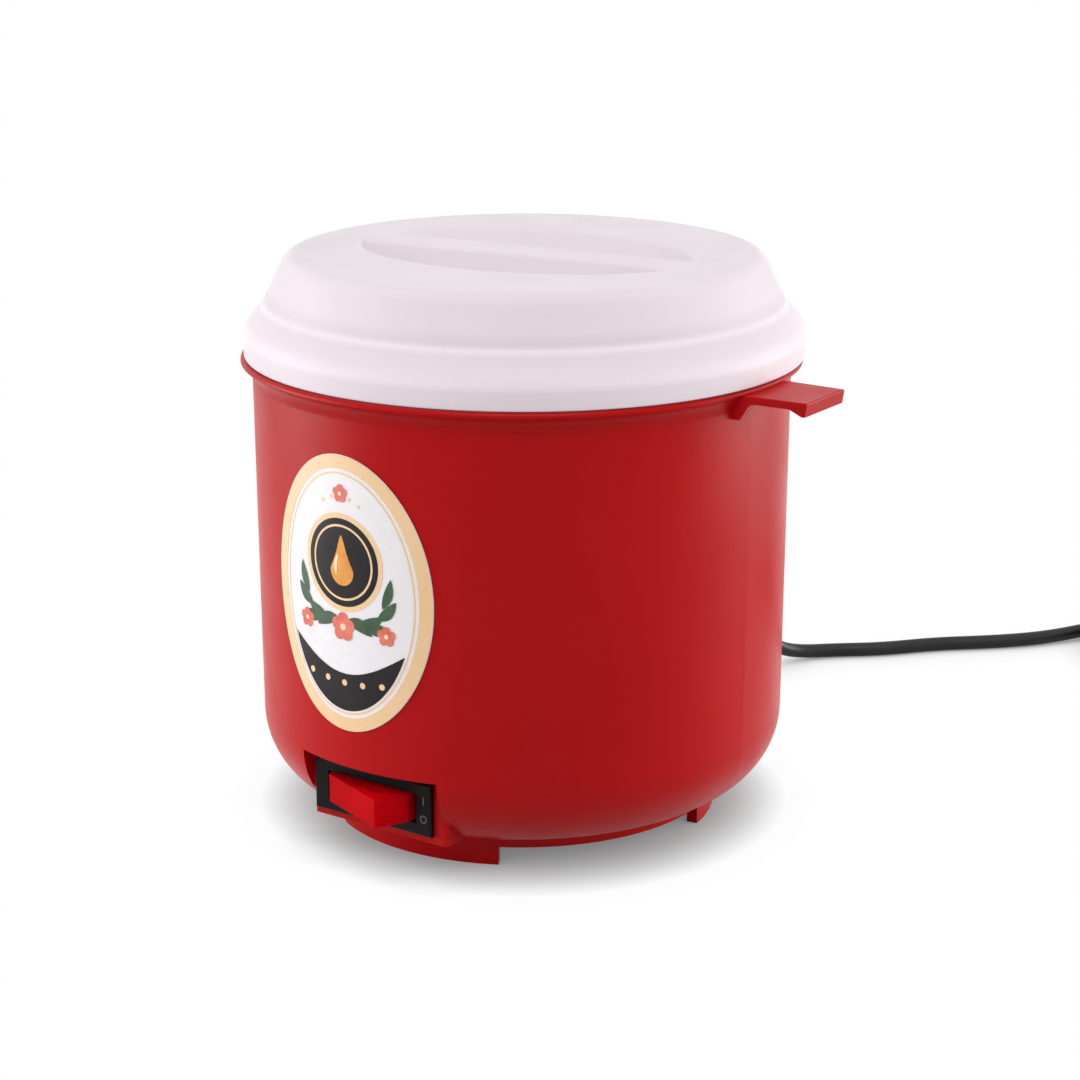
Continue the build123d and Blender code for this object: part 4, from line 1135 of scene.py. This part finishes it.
    def gold_dots(self) -> list[Outline]:
        """Lays out a chain of dots on the crescent."""
        dots = []
        for step in (-2, -1, 0, 1, 2):
            across = self.chain_step * step
            up = self.chain_low + self.chain_bow * (across / 4) ** 2
            dots.append(oval(across, up, self.chain_dot_radius, self.chain_dot_radius, 20))
        return dots

    def lights(self) -> list[Outline]:
        """Lays out the blossoms' hearts and the light on the drop."""
        share = self.heart_share
        hearts = [oval(across, up, share * size, share * size, 16) for across, up, size in self.blossoms()]
        return hearts + [leaf((-1.9, self.emblem_up - 3.6), (-1.1, self.emblem_up + 2.4), 1.1, 0.5)]


@dataclass
class SwitchMarks:
    """Plain marks for on and off on the switch's frame."""

    workshop: Workshop
    across: float = 15.8
    up: float = 19.0
    ring_radius: float = 1.15
    line: float = 0.42
    bar_height: float = 2.3
    spread: float = 2.5
    lift: float = 0.00002
    thickness: float = 0.00004

    def build(self) -> None:
        """Makes a ring on one side and a bar on the other, flat on the frame's front."""
        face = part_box("switch_housing")[0][1] - self.lift
        outer, inner = (
            oval(self.across, self.up - self.spread, radius, radius, 32)
            for radius in (self.ring_radius, self.ring_radius - self.line)
        )
        top = self.up + self.spread + self.bar_height / 2
        foot = top - self.bar_height
        left = self.across - self.line / 2
        right = self.across + self.line / 2
        bar = [(left, foot), (right, foot), (right, top), (left, top)]

        def on_frame(across: float, up: float) -> Vector:
            """Puts a point of the print on the frame's front."""
            return Vector((across * MM, face, up * MM))

        shape = film([bar], [(outer, inner)], on_frame, self.thickness)
        self.workshop.piece("switch_marks", shape, MARK_GREY, "warmer", "black_plastic")


@dataclass
class RibbedBush:
    """Strain relief whose tapered sleeve is cut by a row of ribs."""

    workshop: Workshop
    height: float = 33.0
    bore: float = 2.25
    lock: float = 3.0
    lock_radius: float = 5.1
    neck_radius: float = 3.9
    flange_back: float = 71.655
    flange_front: float = 74.155
    flange_radius: float = 6.2
    flange_back_edge: float = 0.4
    flange_front_edge: float = 0.5
    wide_radius: float = 4.9
    tip_radius: float = 3.3
    ribs: int = 7
    groove: float = 0.75
    groove_share: float = 0.42
    steps: int = 56

    def build(self) -> None:
        """Spins the ribbed outline about the cord."""
        low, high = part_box("cord_bush")
        start, tip = low[1] / MM, high[1] / MM
        pitch = (tip - self.flange_front) / (self.ribs + self.groove_share)
        outline = [
            (start, self.bore),
            (start, self.lock_radius),
            (start + self.lock, self.lock_radius),
            (start + self.lock, self.neck_radius),
            (self.flange_back, self.neck_radius),
            (self.flange_back, self.flange_radius - self.flange_back_edge),
            (self.flange_back + self.flange_back_edge, self.flange_radius),
            (self.flange_front - self.flange_front_edge, self.flange_radius),
            (self.flange_front, self.flange_radius - self.flange_front_edge),
        ]
        place = self.flange_front
        for _ in range(self.ribs):
            for depth, reach in ((self.groove, self.groove_share), (0.0, 1.0 - self.groove_share)):
                for end in (place, place + pitch * reach):
                    outline.append((end, self.sleeve(end, tip) - depth))
                place += pitch * reach
        outline.append((place, self.sleeve(place, tip) - self.groove))
        outline += [(tip, self.tip_radius - self.groove), (tip, self.bore)]
        shape = bmesh.new()
        middle = self.height * MM
        verts = [shape.verts.new((radius * MM, along * MM, middle)) for along, radius in outline]
        edges = [shape.edges.new((verts[step - 1], verts[step])) for step in range(len(verts))]
        bmesh.ops.spin(
            shape,
            geom=verts + edges,
            cent=(0.0, 0.0, middle),
            axis=(0.0, 1.0, 0.0),
            angle=2.0 * math.pi,
            steps=self.steps,
            use_merge=True,
        )
        bmesh.ops.remove_doubles(shape, verts=shape.verts[:], dist=MERGE_DISTANCE)
        bmesh.ops.recalc_face_normals(shape, faces=shape.faces[:])
        bush = self.workshop.piece("ribbed_bush", shape, CORD_RUBBER, "warmer", "cord_rubber")
        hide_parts("cord_bush")

    def sleeve(self, along: float, tip: float) -> float:
        """Radius of the tapered sleeve at a place along the cord."""
        share = (along - self.flange_front) / (tip - self.flange_front)
        return self.wide_radius + share * (self.tip_radius - self.wide_radius)


def dress_nodes(workshop: Workshop) -> None:
    """Gives every carried-over CAD node its finish.

    Args:
        workshop: Keeper of the materials.
    """
    for finish, names in NODE_FINISHES.items():
        for name in names:
            workshop.dress(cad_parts[name], finish)


def main() -> None:
    """Builds the scene, piece by piece."""
    logging.basicConfig(level=logging.INFO, format="%(name)s %(message)s")
    bpy.context.scene.view_settings.view_transform = "Standard"
    workshop = Workshop()
    PhotoCamera().build()
    StudioStage().build()
    dress_nodes(workshop)
    MainsCord(workshop).build()
    RibbedBush(workshop).build()
    FrontLabel(workshop).build()
    SwitchMarks(workshop).build()


if __name__ == "__main__":
    main()
